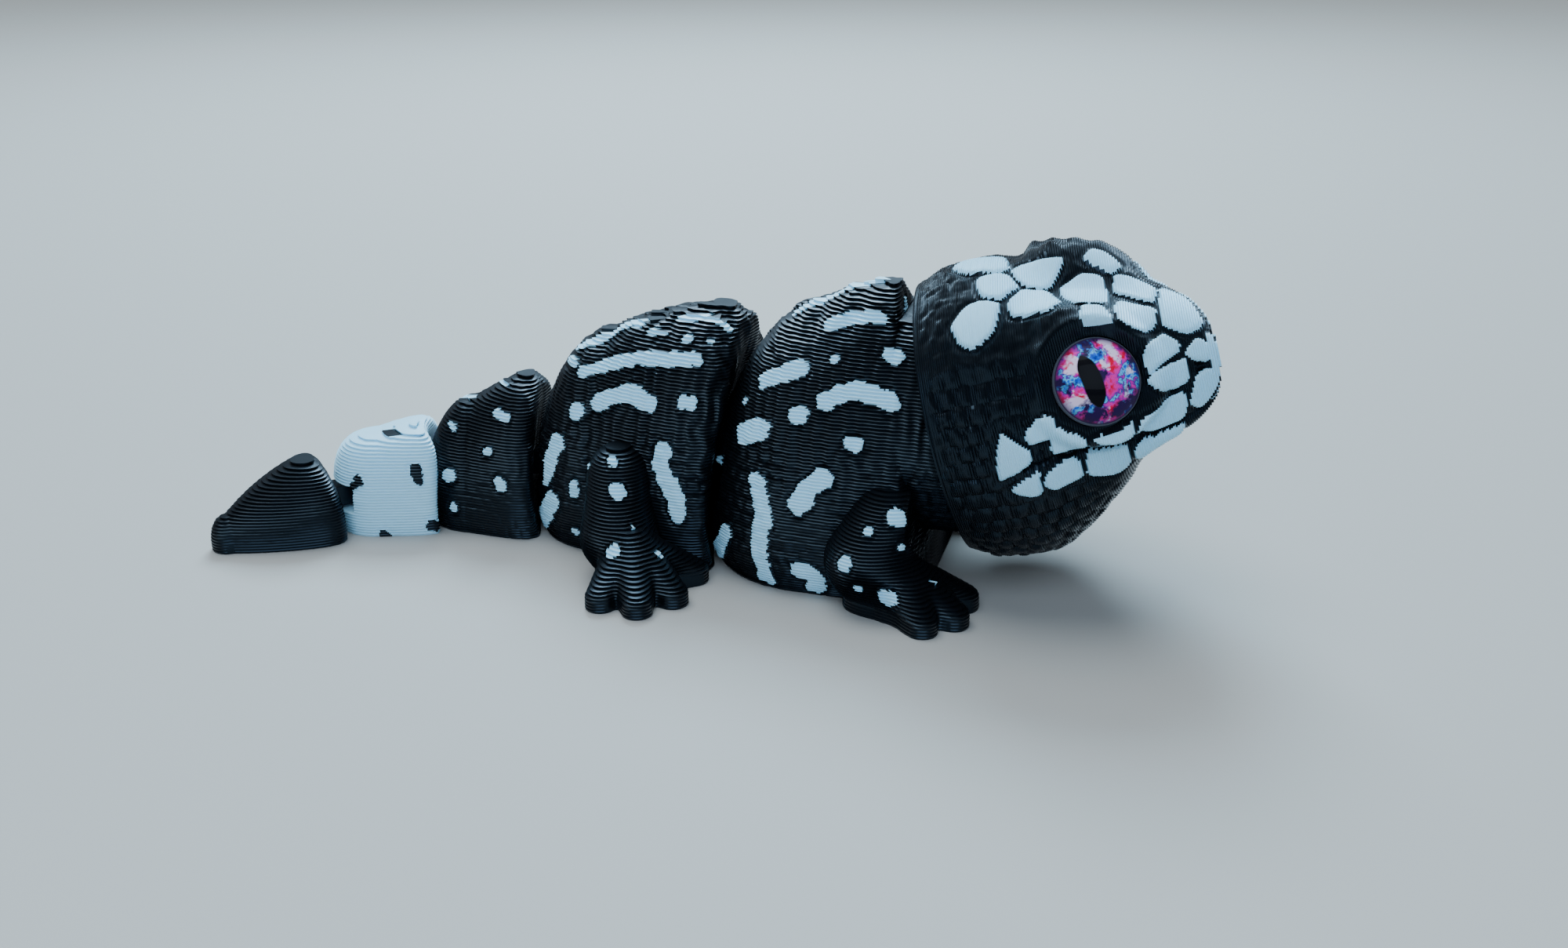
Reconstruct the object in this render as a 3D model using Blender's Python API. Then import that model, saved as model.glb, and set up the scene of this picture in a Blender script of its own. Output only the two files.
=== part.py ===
"""A jointed toy tegu, printed in plastic: head, two torso beads with their legs, and three tail beads.

Lengths in this file are in millimetres and are turned into metres where a mesh is made. The row
frame has +X along the front body's heading, +Y to the animal's left and +Z up, with the floor at
z = 0. Each bead is described in its own frame: x forward, y left, z up, with its origin on the
floor under the hinge that joins it to the bead before it.
"""

import math

import bmesh
import bpy
import numpy as np
from mathutils import Matrix, Vector

MM = 0.001

# Gaps
GAP = 0.4               # between beads that turn on each other
SEAM = 0.3              # between pieces that are printed as one

# The beads: half widths and heights at the rear hinge and at the front, and the x of both ends.
# crown is the power of the curve from the widest line to the top: 2 is an ellipse, 3 is boxy.
FRONT_BODY = dict(rear_x=0.0, front_x=7.0, rear_half=11.6, front_half=11.9, rear_top=25.8, front_top=28.0,
                  crown=1.7)
REAR_BODY = dict(rear_x=-21.6, front_x=-9.0, rear_half=8.8, front_half=10.8, rear_top=21.0, front_top=24.4,
                 crown=1.9, shoulder=4.4)
TAIL_BASE = dict(rear_x=-14.9, front_x=-4.0, rear_half=6.0, front_half=7.2, rear_top=13.0, front_top=16.8,
                 crown=2.0, shoulder=2.4)
TAIL_MIDDLE = dict(rear_x=-10.3, front_x=-4.0, rear_half=5.0, front_half=5.5, rear_top=9.6, front_top=10.6,
                   crown=3.2, shoulder=2.0)
TAIL_TIP = dict(rear_x=-15.8, front_x=-4.0, rear_half=1.7, front_half=4.9, rear_top=3.6, front_top=8.9,
                crown=2.2, shoulder=2.4)
WIDEST_AT = 0.17        # height of the widest line of a bead, over its top height
UNDERCUT = 3.0          # how far below the floor a bead's lower curve ends, which leaves its flat
LOWER_POWER = 2.6

# Rest pose: how far each bead is turned from the one before it, about the vertical, in degrees
REST_YAW = dict(rear_body=-3.0, tail_base=9.0, tail_middle=19.5, tail_tip=18.5)
HEAD_YAW = 4.5
HEAD_PITCH = 16.0
HEAD_ROLL = 19.0        # the head leans over to its right on the neck's ball

# The neck: centre of the ball that the head turns on, and the round end of the front body about it
NECK = (13.0, 0.0, 15.5)
NECK_ROUND = 11.2
NECK_FRONT = 3.0        # the round end is cut flat this far ahead of the neck's centre
FACE = 9.4              # x of the face of the front body behind the head's rim, at the neck's height
FACE_LEAN = 0.16        # how far that face leans back for each unit of height
LONG_FRONT = 22.0       # how far forward the front body runs before its face is cut
BALL = 3.8
MOUTH_REAR, MOUTH_FRONT = 2.4, 4.5      # radii of the opening that the head's stalk swings in
HEAD_SWEEP = 14.8      # radius round the neck's centre that the front legs leave for the head
HEAD_SWEEP_REAR = 11.0  # x behind which the head doesn't come
PAST_CORNER = 0.8       # how far a leg's inner side runs straight on past the corner of the body's face

# The hinges between beads: height, ring and pin of each, and how far the slot lets the tongue swing
HINGES = dict(
    rear_body=dict(z=8.6, thick=3.0, ring=3.3, pin=1.5, half=1.9, swing=30.0),
    tail_base=dict(z=6.6, thick=2.6, ring=3.0, pin=1.4, half=1.7, swing=38.0),
    tail_middle=dict(z=4.6, thick=2.2, ring=2.5, pin=1.15, half=1.4, swing=42.0),
    tail_tip=dict(z=3.8, thick=2.0, ring=2.2, pin=1.0, half=1.2, swing=42.0),
    head=dict(z=0.0, thick=2.0, ring=2.2, pin=1.0, half=1.1, swing=32.0),
)
PIN_ROOT = 0.8          # how far a pin runs into the walls of its slot
TONGUE_ROOT = 1.8       # how far a tongue runs into its own bead
PITCH_AXIS = Matrix.Rotation(math.pi / 2, 4, "X")   # takes a hinge's axis from z to y

# The head, in its own frame: s along its axis from the rim, and heights and half widths from that axis
RIM_TO_NECK = 1.0
STATIONS = (0.0, 0.8, 3.0, 7.0, 11.0, 15.0, 19.0, 22.0, 23.8, 24.8, 25.2)
HALF_WIDTH = (12.2, 12.6, 13.2, 13.4, 12.6, 10.8, 8.2, 6.5, 4.8, 3.1, 0.5)
ABOVE = (12.2, 12.6, 13.3, 13.3, 12.0, 11.0, 9.2, 7.5, 5.8, 4.0, 1.9)
BELOW = (12.2, 12.8, 13.8, 14.2, 12.0, 8.2, 6.2, 4.8, 3.2, 1.8, 0.2)
HEAD_POWER = 2.2        # of the curve round the axis: 2 is an ellipse
BROW = dict(rise=2.2, s=14.8, along=4.4, aside=28.0, across=15.0)       # a ridge over each eye, in degrees round
VALLEY = dict(depth=0.7, s=14.0, along=5.0, across=16.0)                # and the dip between the two
CUP = 11.6
CUP_DEPTH = 8.4         # from the neck's centre to the cup's floor

# The eyes: glass cabochons in round seats
EYE_S = 14.9
EYE_ASIDE = 52.0        # from the top of the head, round its axis
EYE_RADIUS = 3.8
EYE_AHEAD = 20.0        # how far the eye looks ahead of straight out
EYE_LIFT = 41.0         # how far it looks up
EYE_DOME = 1.9          # height of the cabochon's dome
EYE_EDGE = 0.9          # thickness of the cabochon's edge
SEAT_DEPTH = 0.7        # of the cabochon's flat back, under the collar's face
COLLAR = 5.2            # radius of the flat collar round a seat
COLLAR_BLEND = 1.8
COLLAR_PROUD = 0.2

# The raised head plates: corners (s, degrees from the top round the head's axis), and the side they are on
PLATE_PROUD = 0.3
PLATE_ROOT = 0.9
PLATES = dict(
    nape_far=("left", ((4.7, 24), (8.4, 26), (8.8, 12), (7.6, 8), (6.2, 11), (4.7, 17))),
    nape_near=("right", ((6.2, -5), (8.8, -7), (9.5, 0), (8.1, 9.5), (6.6, 7.5), (6.1, 1))),
    nape_side=("both", ((3.7, 20), (5.1, 11.5), (6.4, 10), (8.0, 13), (7.2, 26), (5.5, 31), (4.4, 29))),
    crown_far=("left", ((9.1, 11), (10, 15.5), (13.8, 16), (12.9, 8.5), (12.2, 1.5), (10.6, 1), (9.8, 3))),
    crown_near=("right", ((8.7, 13), (10, 1.5), (12, 1.5), (13.5, 16.5), (12.4, 22), (9, 19.5))),
    brow_far=("left", ((15.3, 16.5), (15.9, 22), (18.4, 22), (18.4, 17), (17.4, 12))),
    brow_near=("right", ((15.1, 21.5), (16.6, 21), (17.6, 28), (16.6, 29), (14.9, 28.5))),
    forehead=("right", ((13, -1), (15, -9.5), (16.6, -9), (17, 12), (16.6, 19), (14.2, 19), (13.2, 10))),
    snout_far=("left", ((17.5, -0.5), (17.8, 11), (19.5, 14), (21, 10), (20.5, -6))),
    snout_near=("right", ((17.8, 12.5), (20.6, 12.5), (20.3, 26), (19.3, 32), (17.9, 30), (17.3, 23.5))),
    nose=("right", ((21.4, -12), (23.6, -14), (24.3, 5), (23.9, 20), (22.8, 28), (21.2, 25), (21.1, 10))),
    lore_upper=("both", ((18.5, 49.5), (20.9, 31), (22, 36), (21.9, 41.5), (19.2, 53))),
    lore_lower=("both", ((18.9, 56.5), (20.6, 51), (22.3, 48), (22.2, 63), (20.9, 66), (19.7, 61))),
    nostril=("both", ((22.5, 44), (23.8, 31), (24.4, 34), (24.3, 50), (23.6, 51.5), (22.9, 48))),
    lip_tip=("both", ((22.1, 82), (23.1, 62), (24, 61.5), (24.2, 74), (23.6, 86))),
    lip_front=("both", ((17.2, 80), (18, 72.5), (21.5, 71), (21.7, 82), (21.2, 91), (18.6, 88.5))),
    lip_eye=("both", ((13.9, 74.5), (17, 74), (16.8, 80), (15.3, 78))),
    lip_rear=("both", ((8.3, 67), (9.7, 61), (10.8, 61.5), (11.9, 68), (13.5, 72), (12.6, 76.5), (10, 76))),
    cheek=("both", ((5.3, 81.5), (5.6, 71.5), (6.4, 64), (8.4, 73.5), (8, 78))),
    jaw_rear=("both", ((6, 87.5), (8.6, 82), (8.3, 92), (6.9, 91))),
    jaw_middle=("both", ((8.9, 88.5), (9.4, 84), (11.6, 80), (12.2, 86), (12.1, 90.5), (9.5, 92))),
    jaw_front=("both", ((12.6, 91.5), (13, 81), (16.1, 87), (16, 99.5), (15, 100))),
    chin=("both", ((16.6, 98), (17, 91), (21.2, 97), (20.6, 106), (17.6, 107))),
)

# Legs: capsules (start, end, start radius, end radius), for the right side in the bead's frame. Toes:
# the middle of the foot, and how each toe heads and how long it is from there
FRONT_LEG = (
    ((8.6, -9.4, 8.2), (7.0, -11.2, 4.8), 3.9, 3.9),
    ((7.2, -11.4, 4.2), (10.8, -12.6, 2.4), 3.4, 2.6),
)
FRONT_TOES = (9.8, -11.4, (166.0, -93.0, -52.0, -18.0, 19.0), (2.6, 2.2, 5.4, 6.3, 6.9))
HIND_LEG = (
    ((-17.5, -9.6, 9.3), (-16.7, -12.2, 4.0), 3.1, 3.4),
    ((-16.4, -12.2, 4.0), (-14.4, -14.2, 2.2), 3.3, 2.8),
)
HIND_TOES = (-14.6, -14.0, (-100.0, -62.0, -24.0, 30.0), (5.2, 6.0, 5.6, 5.9))
ANKLE, ANKLE_RADIUS = 3.4, 2.5
TOE_TIP, TOE_RADIUS = 0.8, 1.5      # height and radius of a toe at its tip
TOE_LEVEL = 1.2         # height below which the feet go straight down to the floor
FLESH = 1.6             # how softly the capsules of a leg run into each other
TOE_BLEND = 0.5         # and the toes

# How finely the solids are traced
PROBE = 0.25            # step of the grid that finds a level's middle
COARSE_STEPS = 160      # along a ray, before the halvings
FINE_STEPS = 14
TOP_TRIM = 0.3          # how far under a bead's highest line its last level lies


def smooth_max(a, b, width):
    """The larger of two distances, with the edge between them rounded over the width."""
    h = np.maximum(width - np.abs(a - b), 0.0) / width
    return np.maximum(a, b) + h * h * width / 4


def smooth_min(a, b, width):
    return -smooth_max(-a, -b, width)


def bead_side(bead, x, y, z):
    """Distance outside a bead's sides, top and rear dome, as if it had no front face."""
    along = np.clip((x - bead["rear_x"]) / (bead["front_x"] - bead["rear_x"]), 0.0, 1.0)
    along = along * (2 - along)
    half = bead["rear_half"] + (bead["front_half"] - bead["rear_half"]) * along
    top = bead["rear_top"] + (bead["front_top"] - bead["rear_top"]) * along
    across = np.hypot(np.minimum(x - bead["rear_x"], 0.0), y)
    return rounded_section(across, z, half, top, bead["crown"])


def rounded_section(across, z, half, top, crown):
    """Distance outside an upright section with a domed top and a flat foot."""
    middle = WIDEST_AT * top
    upper = np.maximum(z - middle, 0.0) / (top - middle)
    lower = np.maximum(middle - z, 0.0) / (middle + UNDERCUT)
    sideways = np.abs(across) / half
    high = (sideways ** crown + upper ** crown) ** (1 / crown)
    low = (sideways ** LOWER_POWER + lower ** LOWER_POWER) ** (1 / LOWER_POWER)
    return (np.where(z > middle, high, low) - 1.0) * np.minimum(half, top / 2)


def bead_behind(bead, before):
    """The distance function of a bead whose front face is a cup round the rear dome of the one before."""

    def distance(x, y, z):
        dome = rounded_section(np.hypot(x, y), z, before["rear_half"], before["rear_top"], before["crown"])
        return smooth_max(bead_side(bead, x, y, z), GAP - dome, bead["shoulder"])

    return distance


def long_front_bead(x, y, z):
    """Distance outside the front body's sides, carried on past its front."""
    return np.maximum(bead_side(FRONT_BODY, x, y, z), x - LONG_FRONT)


def front_body_distance(x, y, z):
    """Distance outside the front body: a bead with a face, and a round end that the head's cup goes about."""
    away = np.sqrt((x - NECK[0]) ** 2 + y ** 2 + (z - NECK[2]) ** 2)
    round_end = np.maximum(away - NECK_ROUND, x - NECK[0] - NECK_FRONT)
    face = x - FACE + FACE_LEAN * (z - NECK[2])
    return np.maximum(bead_side(FRONT_BODY, x, y, z), np.minimum(round_end, face))


def body_and_head_sweep(x, y, z):
    """Distance outside the front body and outside the room that the head needs to turn and nod."""
    away = np.sqrt((x - NECK[0]) ** 2 + y ** 2 + (z - NECK[2]) ** 2)
    body = np.minimum(front_body_distance(x, y, z), front_body_distance(x - PAST_CORNER, y, z))
    return np.minimum(body, np.maximum(away - HEAD_SWEEP, HEAD_SWEEP_REAR - x))


def capsule(x, y, z, start, end, start_radius, end_radius):
    """Distance outside a round bar whose radius changes evenly from start to end."""
    start, end = np.array(start), np.array(end)
    line = end - start
    px, py, pz = x - start[0], y - start[1], z - start[2]
    along = np.clip((px * line[0] + py * line[1] + pz * line[2]) / (line @ line), 0.0, 1.0)
    away = np.sqrt((px - along * line[0]) ** 2 + (py - along * line[1]) ** 2 + (pz - along * line[2]) ** 2)
    return away - (start_radius + (end_radius - start_radius) * along)


def leg_distance(bars, toes, body):
    """The distance function of a leg: bars run softly together, with a fan of toes, outside the body."""
    foot_x, foot_y, headings, lengths = toes

    def distance(x, y, z):
        limb, height = None, np.maximum(z, TOE_LEVEL)
        for bar in bars:
            one = capsule(x, y, height, *bar)
            limb = one if limb is None else smooth_min(limb, one, FLESH)
        for heading, length in zip(headings, lengths):
            turn = math.radians(heading)
            tip = (foot_x + length * math.cos(turn), foot_y + length * math.sin(turn), TOE_TIP)
            toe = capsule(x, y, height, (foot_x, foot_y, ANKLE), tip, ANKLE_RADIUS, TOE_RADIUS)
            limb = smooth_min(limb, toe, TOE_BLEND)
        return np.maximum(limb, SEAM - body(x, y, z))

    return distance


def middle_of(distance, box, z):
    """The middle of the part of a level that is inside, or None where there is none."""
    xs, ys = np.meshgrid(np.arange(box[0], box[1], PROBE), np.arange(box[2], box[3], PROBE))
    inside = distance(xs, ys, np.full(xs.shape, z)) < 0
    if not inside.any():
        return None
    return xs[inside].mean(), ys[inside].mean()


def reach_of(distance, cx, cy, z, turns, longest):
    """How far the solid reaches from a point of a level, along each turn."""
    reach = np.linspace(0.0, longest, COARSE_STEPS)[None, :]
    cos, sin = np.cos(turns)[:, None], np.sin(turns)[:, None]
    outside = distance(cx + reach * cos, cy + reach * sin, np.full((len(turns), COARSE_STEPS), z)) > 0
    first = np.maximum(outside.argmax(axis=1), 1)
    low, high = reach[0, first - 1], reach[0, first]
    for _ in range(FINE_STEPS):
        middle = (low + high) / 2
        out = distance(cx + middle * cos[:, 0], cy + middle * sin[:, 0], np.full(len(turns), z)) > 0
        low, high = np.where(out, low, middle), np.where(out, middle, high)
    return low


def even_turns(distance, box, z, sides):
    """Turns that share out a level's outline in equal lengths, for outlines with fingers."""
    turns = np.linspace(0.0, 2 * math.pi, 721)
    longest = math.hypot(box[1] - box[0], box[3] - box[2])
    reach = reach_of(distance, *middle_of(distance, box, z), z, turns, longest)
    outline = np.stack([reach * np.cos(turns), reach * np.sin(turns)], -1)
    length = np.concatenate([[0.0], np.cumsum(np.linalg.norm(np.diff(outline, axis=0), axis=1))])
    return np.interp(np.arange(sides) / sides * length[-1], length, turns)


def level_stack(distance, box, levels, turns):
    """A closed mesh made of level outlines of a solid, each seen from its own middle."""
    mesh = bmesh.new()
    sides = len(turns)
    rings = []
    longest = math.hypot(box[1] - box[0], box[3] - box[2])
    for z in levels:
        middle = middle_of(distance, box, z)
        if middle is None:
            break
        reach = reach_of(distance, *middle, z, turns, longest)
        rings.append([
            mesh.verts.new((middle[0] + r * math.cos(t), middle[1] + r * math.sin(t), z))
            for r, t in zip(reach, turns)
        ])
    for below, above in zip(rings, rings[1:]):
        for i in range(sides):
            j = (i + 1) % sides
            mesh.faces.new((below[i], below[j], above[j], above[i]))
    mesh.faces.new(rings[0][::-1])
    mesh.faces.new(rings[-1])
    bmesh.ops.triangulate(mesh, faces=mesh.faces)
    return mesh


def levels_to(top, count):
    """Heights from the floor to just under the top, closer together near the top."""
    return [top * math.sin(math.pi / 2 * i / count) for i in range(count)] + [top * 0.9985]


def leg_levels(top, count):
    """Heights for a leg, close together at the toes and near the top."""
    return [0.0, TOE_LEVEL, 2.3, 3.3] + levels_to(top, count)[3:]


def full_turn(sides):
    return np.arange(sides) * 2 * math.pi / sides


def curve_through(stations, values, s):
    """A smooth curve through named stations that never overshoots them."""
    stations, values = np.array(stations), np.array(values)
    step, rise = np.diff(stations), np.diff(values)
    slope = rise / step
    tangent = np.zeros(len(values))
    same = slope[:-1] * slope[1:] > 0
    inner = np.zeros(len(slope) - 1)
    inner[same] = 2 * slope[:-1][same] * slope[1:][same] / (slope[:-1] + slope[1:])[same]
    tangent[1:-1], tangent[0], tangent[-1] = inner, slope[0], slope[-1]
    i = np.clip(np.searchsorted(stations, s, side="right") - 1, 0, len(step) - 1)
    t = (s - stations[i]) / step[i]
    a, b = values[i], values[i + 1]
    m, n = tangent[i] * step[i], tangent[i + 1] * step[i]
    return ((2 * a - 2 * b + m + n) * t + (3 * b - 3 * a - 2 * m - n)) * t * t + m * t + a


def head_skin(s, turn):
    """The head's outline without its eyes: distance from the axis, for angles from the top in radians."""
    wide = curve_through(STATIONS, HALF_WIDTH, s)
    tall = np.where(np.cos(turn) > 0, curve_through(STATIONS, ABOVE, s), curve_through(STATIONS, BELOW, s))
    sideways, upright = np.abs(np.sin(turn)) / wide, np.abs(np.cos(turn)) / tall
    base = (sideways ** HEAD_POWER + upright ** HEAD_POWER) ** (-1 / HEAD_POWER)
    aside = np.degrees(np.abs(np.arctan2(np.sin(turn), np.cos(turn))))
    brow = BROW["rise"] * np.exp(-((s - BROW["s"]) / BROW["along"]) ** 4
                                 - ((aside - BROW["aside"]) / BROW["across"]) ** 2)
    valley = VALLEY["depth"] * np.exp(-((s - VALLEY["s"]) / VALLEY["along"]) ** 2
                                      - (aside / VALLEY["across"]) ** 2)
    return base + brow - valley


def head_point(s, turn, radius):
    """A point of the head in its own frame: x along the axis from the neck, y left, z up."""
    return (s - RIM_TO_NECK, -radius * math.sin(turn), radius * math.cos(turn))


def eye_place():
    """The middle of the right eye's collar in the head's frame, and the way that the eye looks."""
    turn = math.radians(EYE_ASIDE)
    out = float(head_skin(np.array([EYE_S]), np.array([turn]))[0]) + COLLAR_PROUD
    ahead, lift = math.radians(EYE_AHEAD), math.radians(EYE_LIFT)
    look = (math.sin(ahead), -math.cos(ahead) * math.cos(lift), math.cos(ahead) * math.sin(lift))
    return np.array(head_point(EYE_S, turn, out)), np.array(look)


def head_radius(s, turn):
    """The head's outline with a flat collar round each eye."""
    skin = head_skin(s, turn)
    middle, look = eye_place()
    turn = np.abs(np.arctan2(np.sin(turn), np.cos(turn)))
    ray_y, ray_z = -np.sin(turn), np.cos(turn)
    facing = np.maximum(ray_y * look[1] + ray_z * look[2], 0.2)
    axis_x = s - RIM_TO_NECK
    reach = ((middle[0] - axis_x) * look[0] + middle[1] * look[1] + middle[2] * look[2]) / facing
    away = np.sqrt((axis_x - middle[0]) ** 2 + (reach * ray_y - middle[1]) ** 2
                   + (reach * ray_z - middle[2]) ** 2)
    share = np.clip((COLLAR + COLLAR_BLEND - away) / COLLAR_BLEND, 0.0, 1.0)
    share = share * share * (3 - 2 * share)
    return skin + (reach - skin) * share


def to_object(mesh, name, material, parent=None):
    """An object of the model from a bmesh in millimetres."""
    bmesh.ops.recalc_face_normals(mesh, faces=mesh.faces)
    bmesh.ops.scale(mesh, vec=(MM, MM, MM), verts=mesh.verts)
    data = bpy.data.meshes.new(name)
    mesh.to_mesh(data)
    mesh.free()
    piece = bpy.data.objects.new(name, data)
    if material:
        data.materials.append(material)
    (MODEL if material else TOOLS).objects.link(piece)
    if parent:
        piece.parent = parent
    return piece


def combine(piece, tool, operation):
    """Cut or join a piece with a tool in the same frame, apply it, and remove the tool."""
    tool.parent = piece.parent
    step = piece.modifiers.new("Combine", "BOOLEAN")
    step.object = tool
    step.operation = operation
    step.solver = "MANIFOLD"
    bpy.context.view_layer.update()
    made = bpy.data.meshes.new_from_object(piece.evaluated_get(bpy.context.evaluated_depsgraph_get()))
    piece.modifiers.clear()
    old, piece.data = piece.data, made
    made.name = piece.name
    bpy.data.meshes.remove(old)
    bpy.data.objects.remove(tool)


def cylinder(radius, low, high, sides, top_radius=None):
    """A cylinder along z, or a cone where the top has its own radius."""
    mesh = bmesh.new()
    bmesh.ops.create_cone(mesh, cap_ends=True, segments=sides, radius1=radius, radius2=top_radius or radius,
                          depth=high - low, matrix=Matrix.Translation((0, 0, (low + high) / 2)))
    return mesh


def box_mesh(low, high):
    mesh = bmesh.new()
    size = [b - a for a, b in zip(low, high)]
    middle = [(a + b) / 2 for a, b in zip(low, high)]
    bmesh.ops.create_cube(mesh, size=1.0, matrix=Matrix.Translation(middle) @ Matrix.Diagonal((*size, 1.0)))
    return mesh


def prism(outline, low, high):
    """A flat outline carried straight up from low to high."""
    mesh = bmesh.new()
    face = mesh.faces.new([mesh.verts.new((x, y, low)) for x, y in outline])
    top = bmesh.ops.extrude_face_region(mesh, geom=[face])["geom"]
    moved = [v for v in top if isinstance(v, bmesh.types.BMVert)]
    bmesh.ops.translate(mesh, vec=(0, 0, high - low), verts=moved)
    return mesh


def slot_outline(hinge, reach):
    """The fan that a tongue swings in, opening towards -x, as seen along the hinge's axis."""
    clear = hinge["ring"] + GAP
    turn = math.radians(hinge["swing"])
    side = hinge["half"] + GAP
    far_x, far_y = -reach * math.cos(turn), reach * math.sin(turn) + side
    arc = [math.radians(a) for a in range(-110, 111, 20)]
    outline = [(clear * math.cos(a), clear * math.sin(a)) for a in arc]
    return outline + [(far_x, far_y), (-reach, far_y), (-reach, -far_y), (far_x, -far_y)]


def cut_slot(piece, hinge, place, reach):
    """The fan-shaped slot and the pin of a hinge. place takes the hinge's own frame to the piece's."""
    half = hinge["thick"] / 2 + GAP
    slot = prism(slot_outline(hinge, reach), -half, half)
    pin = cylinder(hinge["pin"], -half - PIN_ROOT, half + PIN_ROOT, 16)
    for mesh, name, operation in ((slot, "slot", "DIFFERENCE"), (pin, "pin", "UNION")):
        bmesh.ops.transform(mesh, matrix=place, verts=mesh.verts)
        combine(piece, to_object(mesh, name, None), operation)


def add_tongue(piece, hinge, place, root):
    """The tongue of a hinge, along +x from the ring that goes round the pin."""
    half = hinge["thick"] / 2
    tongue = box_mesh((0.0, -hinge["half"], -half), (root, hinge["half"], half))
    ring = cylinder(hinge["ring"], -half, half, 24)
    hole = cylinder(hinge["pin"] + GAP, -half - 1, half + 1, 16)
    for mesh in (tongue, ring, hole):
        bmesh.ops.transform(mesh, matrix=place, verts=mesh.verts)
    tongue = to_object(tongue, "tongue", None)
    combine(tongue, to_object(ring, "ring", None), "UNION")
    combine(tongue, to_object(hole, "hole", None), "DIFFERENCE")
    combine(piece, tongue, "UNION")


def make_bead(name, bead, before, material, parent, sides, count):
    """A bead behind another: its body and the tongue of its hinge."""
    distance = bead_behind(bead, before)
    rear = bead["rear_x"] - bead["rear_half"] - 1.0
    wide = max(bead["front_half"], bead["rear_half"]) + 1.0
    box = (rear, 0.0, -wide, wide)
    levels = levels_to(bead["front_top"] - TOP_TRIM, count)
    piece = to_object(level_stack(distance, box, levels, full_turn(sides)), name, material, parent)
    hinge = HINGES[name]
    at_hinge = Matrix.Translation((0, 0, hinge["z"])) @ Matrix.Rotation(math.pi, 4, "Z")
    add_tongue(piece, hinge, at_hinge, before["rear_half"] + GAP + TONGUE_ROOT)
    return piece


def cut_rear_slot(piece, bead, hinge):
    """The slot of the hinge at a bead's rear, for the bead behind it."""
    place = Matrix.Translation((bead["rear_x"], 0, hinge["z"]))
    cut_slot(piece, hinge, place, bead["rear_half"] + 3.0)


def make_leg(name, bars, toes, body, material, parent, left):
    """A leg, modelled on the right side and mirrored for the left."""
    box = (toes[0] - 9.0, toes[0] + 9.0, -24.0, -6.0)
    top = bars[0][0][2] + bars[0][2]
    distance = leg_distance(bars, toes, body)
    mesh = level_stack(distance, box, leg_levels(top, 10), even_turns(distance, box, TOE_LEVEL, 40))
    if left:
        bmesh.ops.scale(mesh, vec=(1, -1, 1), verts=mesh.verts)
    return to_object(mesh, name, material, parent)


def ball(radius, columns, rows):
    mesh = bmesh.new()
    bmesh.ops.create_uvsphere(mesh, u_segments=columns, v_segments=rows, radius=radius)
    return mesh


def make_front_body(material, parent):
    """The front body: a bead with a round end in the head's cup, and the socket of the neck's ball."""
    box = (-13.0, LONG_FRONT + 1.0, -13.5, 13.5)
    levels = levels_to(FRONT_BODY["front_top"] - TOP_TRIM, 16)
    body = to_object(level_stack(long_front_bead, box, levels, full_turn(44)), "front_body", material, parent)
    room = box_mesh((0.0, -20.0, -30.0), (30.0, 20.0, 30.0))
    lean = Matrix.Rotation(-math.atan(FACE_LEAN), 4, "Y")
    bmesh.ops.transform(room, matrix=Matrix.Translation((FACE - NECK[0], 0, 0)) @ lean, verts=room.verts)
    room = to_object(room, "room", None)
    combine(room, to_object(ball(NECK_ROUND, 36, 20), "round_end", None), "DIFFERENCE")
    front = to_object(box_mesh((NECK_FRONT, -20.0, -20.0), (30.0, 20.0, 20.0)), "front", None)
    for tool in (room, front):
        for vertex in tool.data.vertices:
            vertex.co += Vector(NECK) * MM
        combine(body, tool, "DIFFERENCE")
    cut_rear_slot(body, FRONT_BODY, HINGES["rear_body"])
    add_neck_socket(body)


def add_neck_socket(front_body):
    """The socket for the neck's ball, with a mouth that the head's stalk swings in."""
    socket = to_object(ball(BALL + GAP, 20, 12), "socket", None)
    mouth = cylinder(MOUTH_REAR, 0.6, NECK_FRONT + 1.0, 20, MOUTH_FRONT)
    bmesh.ops.transform(mouth, matrix=Matrix.Rotation(math.pi / 2, 4, "Y"), verts=mouth.verts)
    combine(socket, to_object(mouth, "mouth", None), "UNION")
    for vertex in socket.data.vertices:
        vertex.co += Vector(NECK) * MM
    combine(front_body, socket, "DIFFERENCE")


def make_neck_ball(material, parent):
    """The ball that turns in the front body's socket, with a slot and pin for the head's stalk."""
    neck_ball = to_object(ball(BALL, 20, 12), "neck_ball", material, parent)
    cut_slot(neck_ball, HINGES["head"], PITCH_AXIS @ Matrix.Rotation(math.pi, 4, "Z"), BALL + 2.0)
    return neck_ball


def make_eye(name, material, parent, side):
    """A glass cabochon: a flat back, a short edge and a dome, turned round its own axis."""
    sphere = (EYE_RADIUS ** 2 + EYE_DOME ** 2) / (2 * EYE_DOME)
    steps = 5
    tilts = [math.asin(EYE_RADIUS / sphere) * i / steps for i in range(steps + 1)]
    arc = [(sphere * math.sin(t), EYE_EDGE + EYE_DOME - sphere * (1 - math.cos(t))) for t in tilts]
    profile = bmesh.new()
    points = [profile.verts.new((r, 0.0, z)) for r, z in arc + [(EYE_RADIUS, 0.0), (0.0, 0.0)]]
    for a, b in zip(points, points[1:]):
        profile.edges.new((a, b))
    bmesh.ops.spin(profile, geom=profile.verts[:] + profile.edges[:], cent=(0, 0, 0), axis=(0, 0, 1),
                   angle=2 * math.pi, steps=24, use_merge=True)
    bmesh.ops.remove_doubles(profile, verts=profile.verts, dist=1e-4)
    bmesh.ops.transform(profile, matrix=eye_frame(side) @ Matrix.Translation((0, 0, -SEAT_DEPTH)),
                        verts=profile.verts)
    return to_object(profile, name, material, parent)


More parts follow.
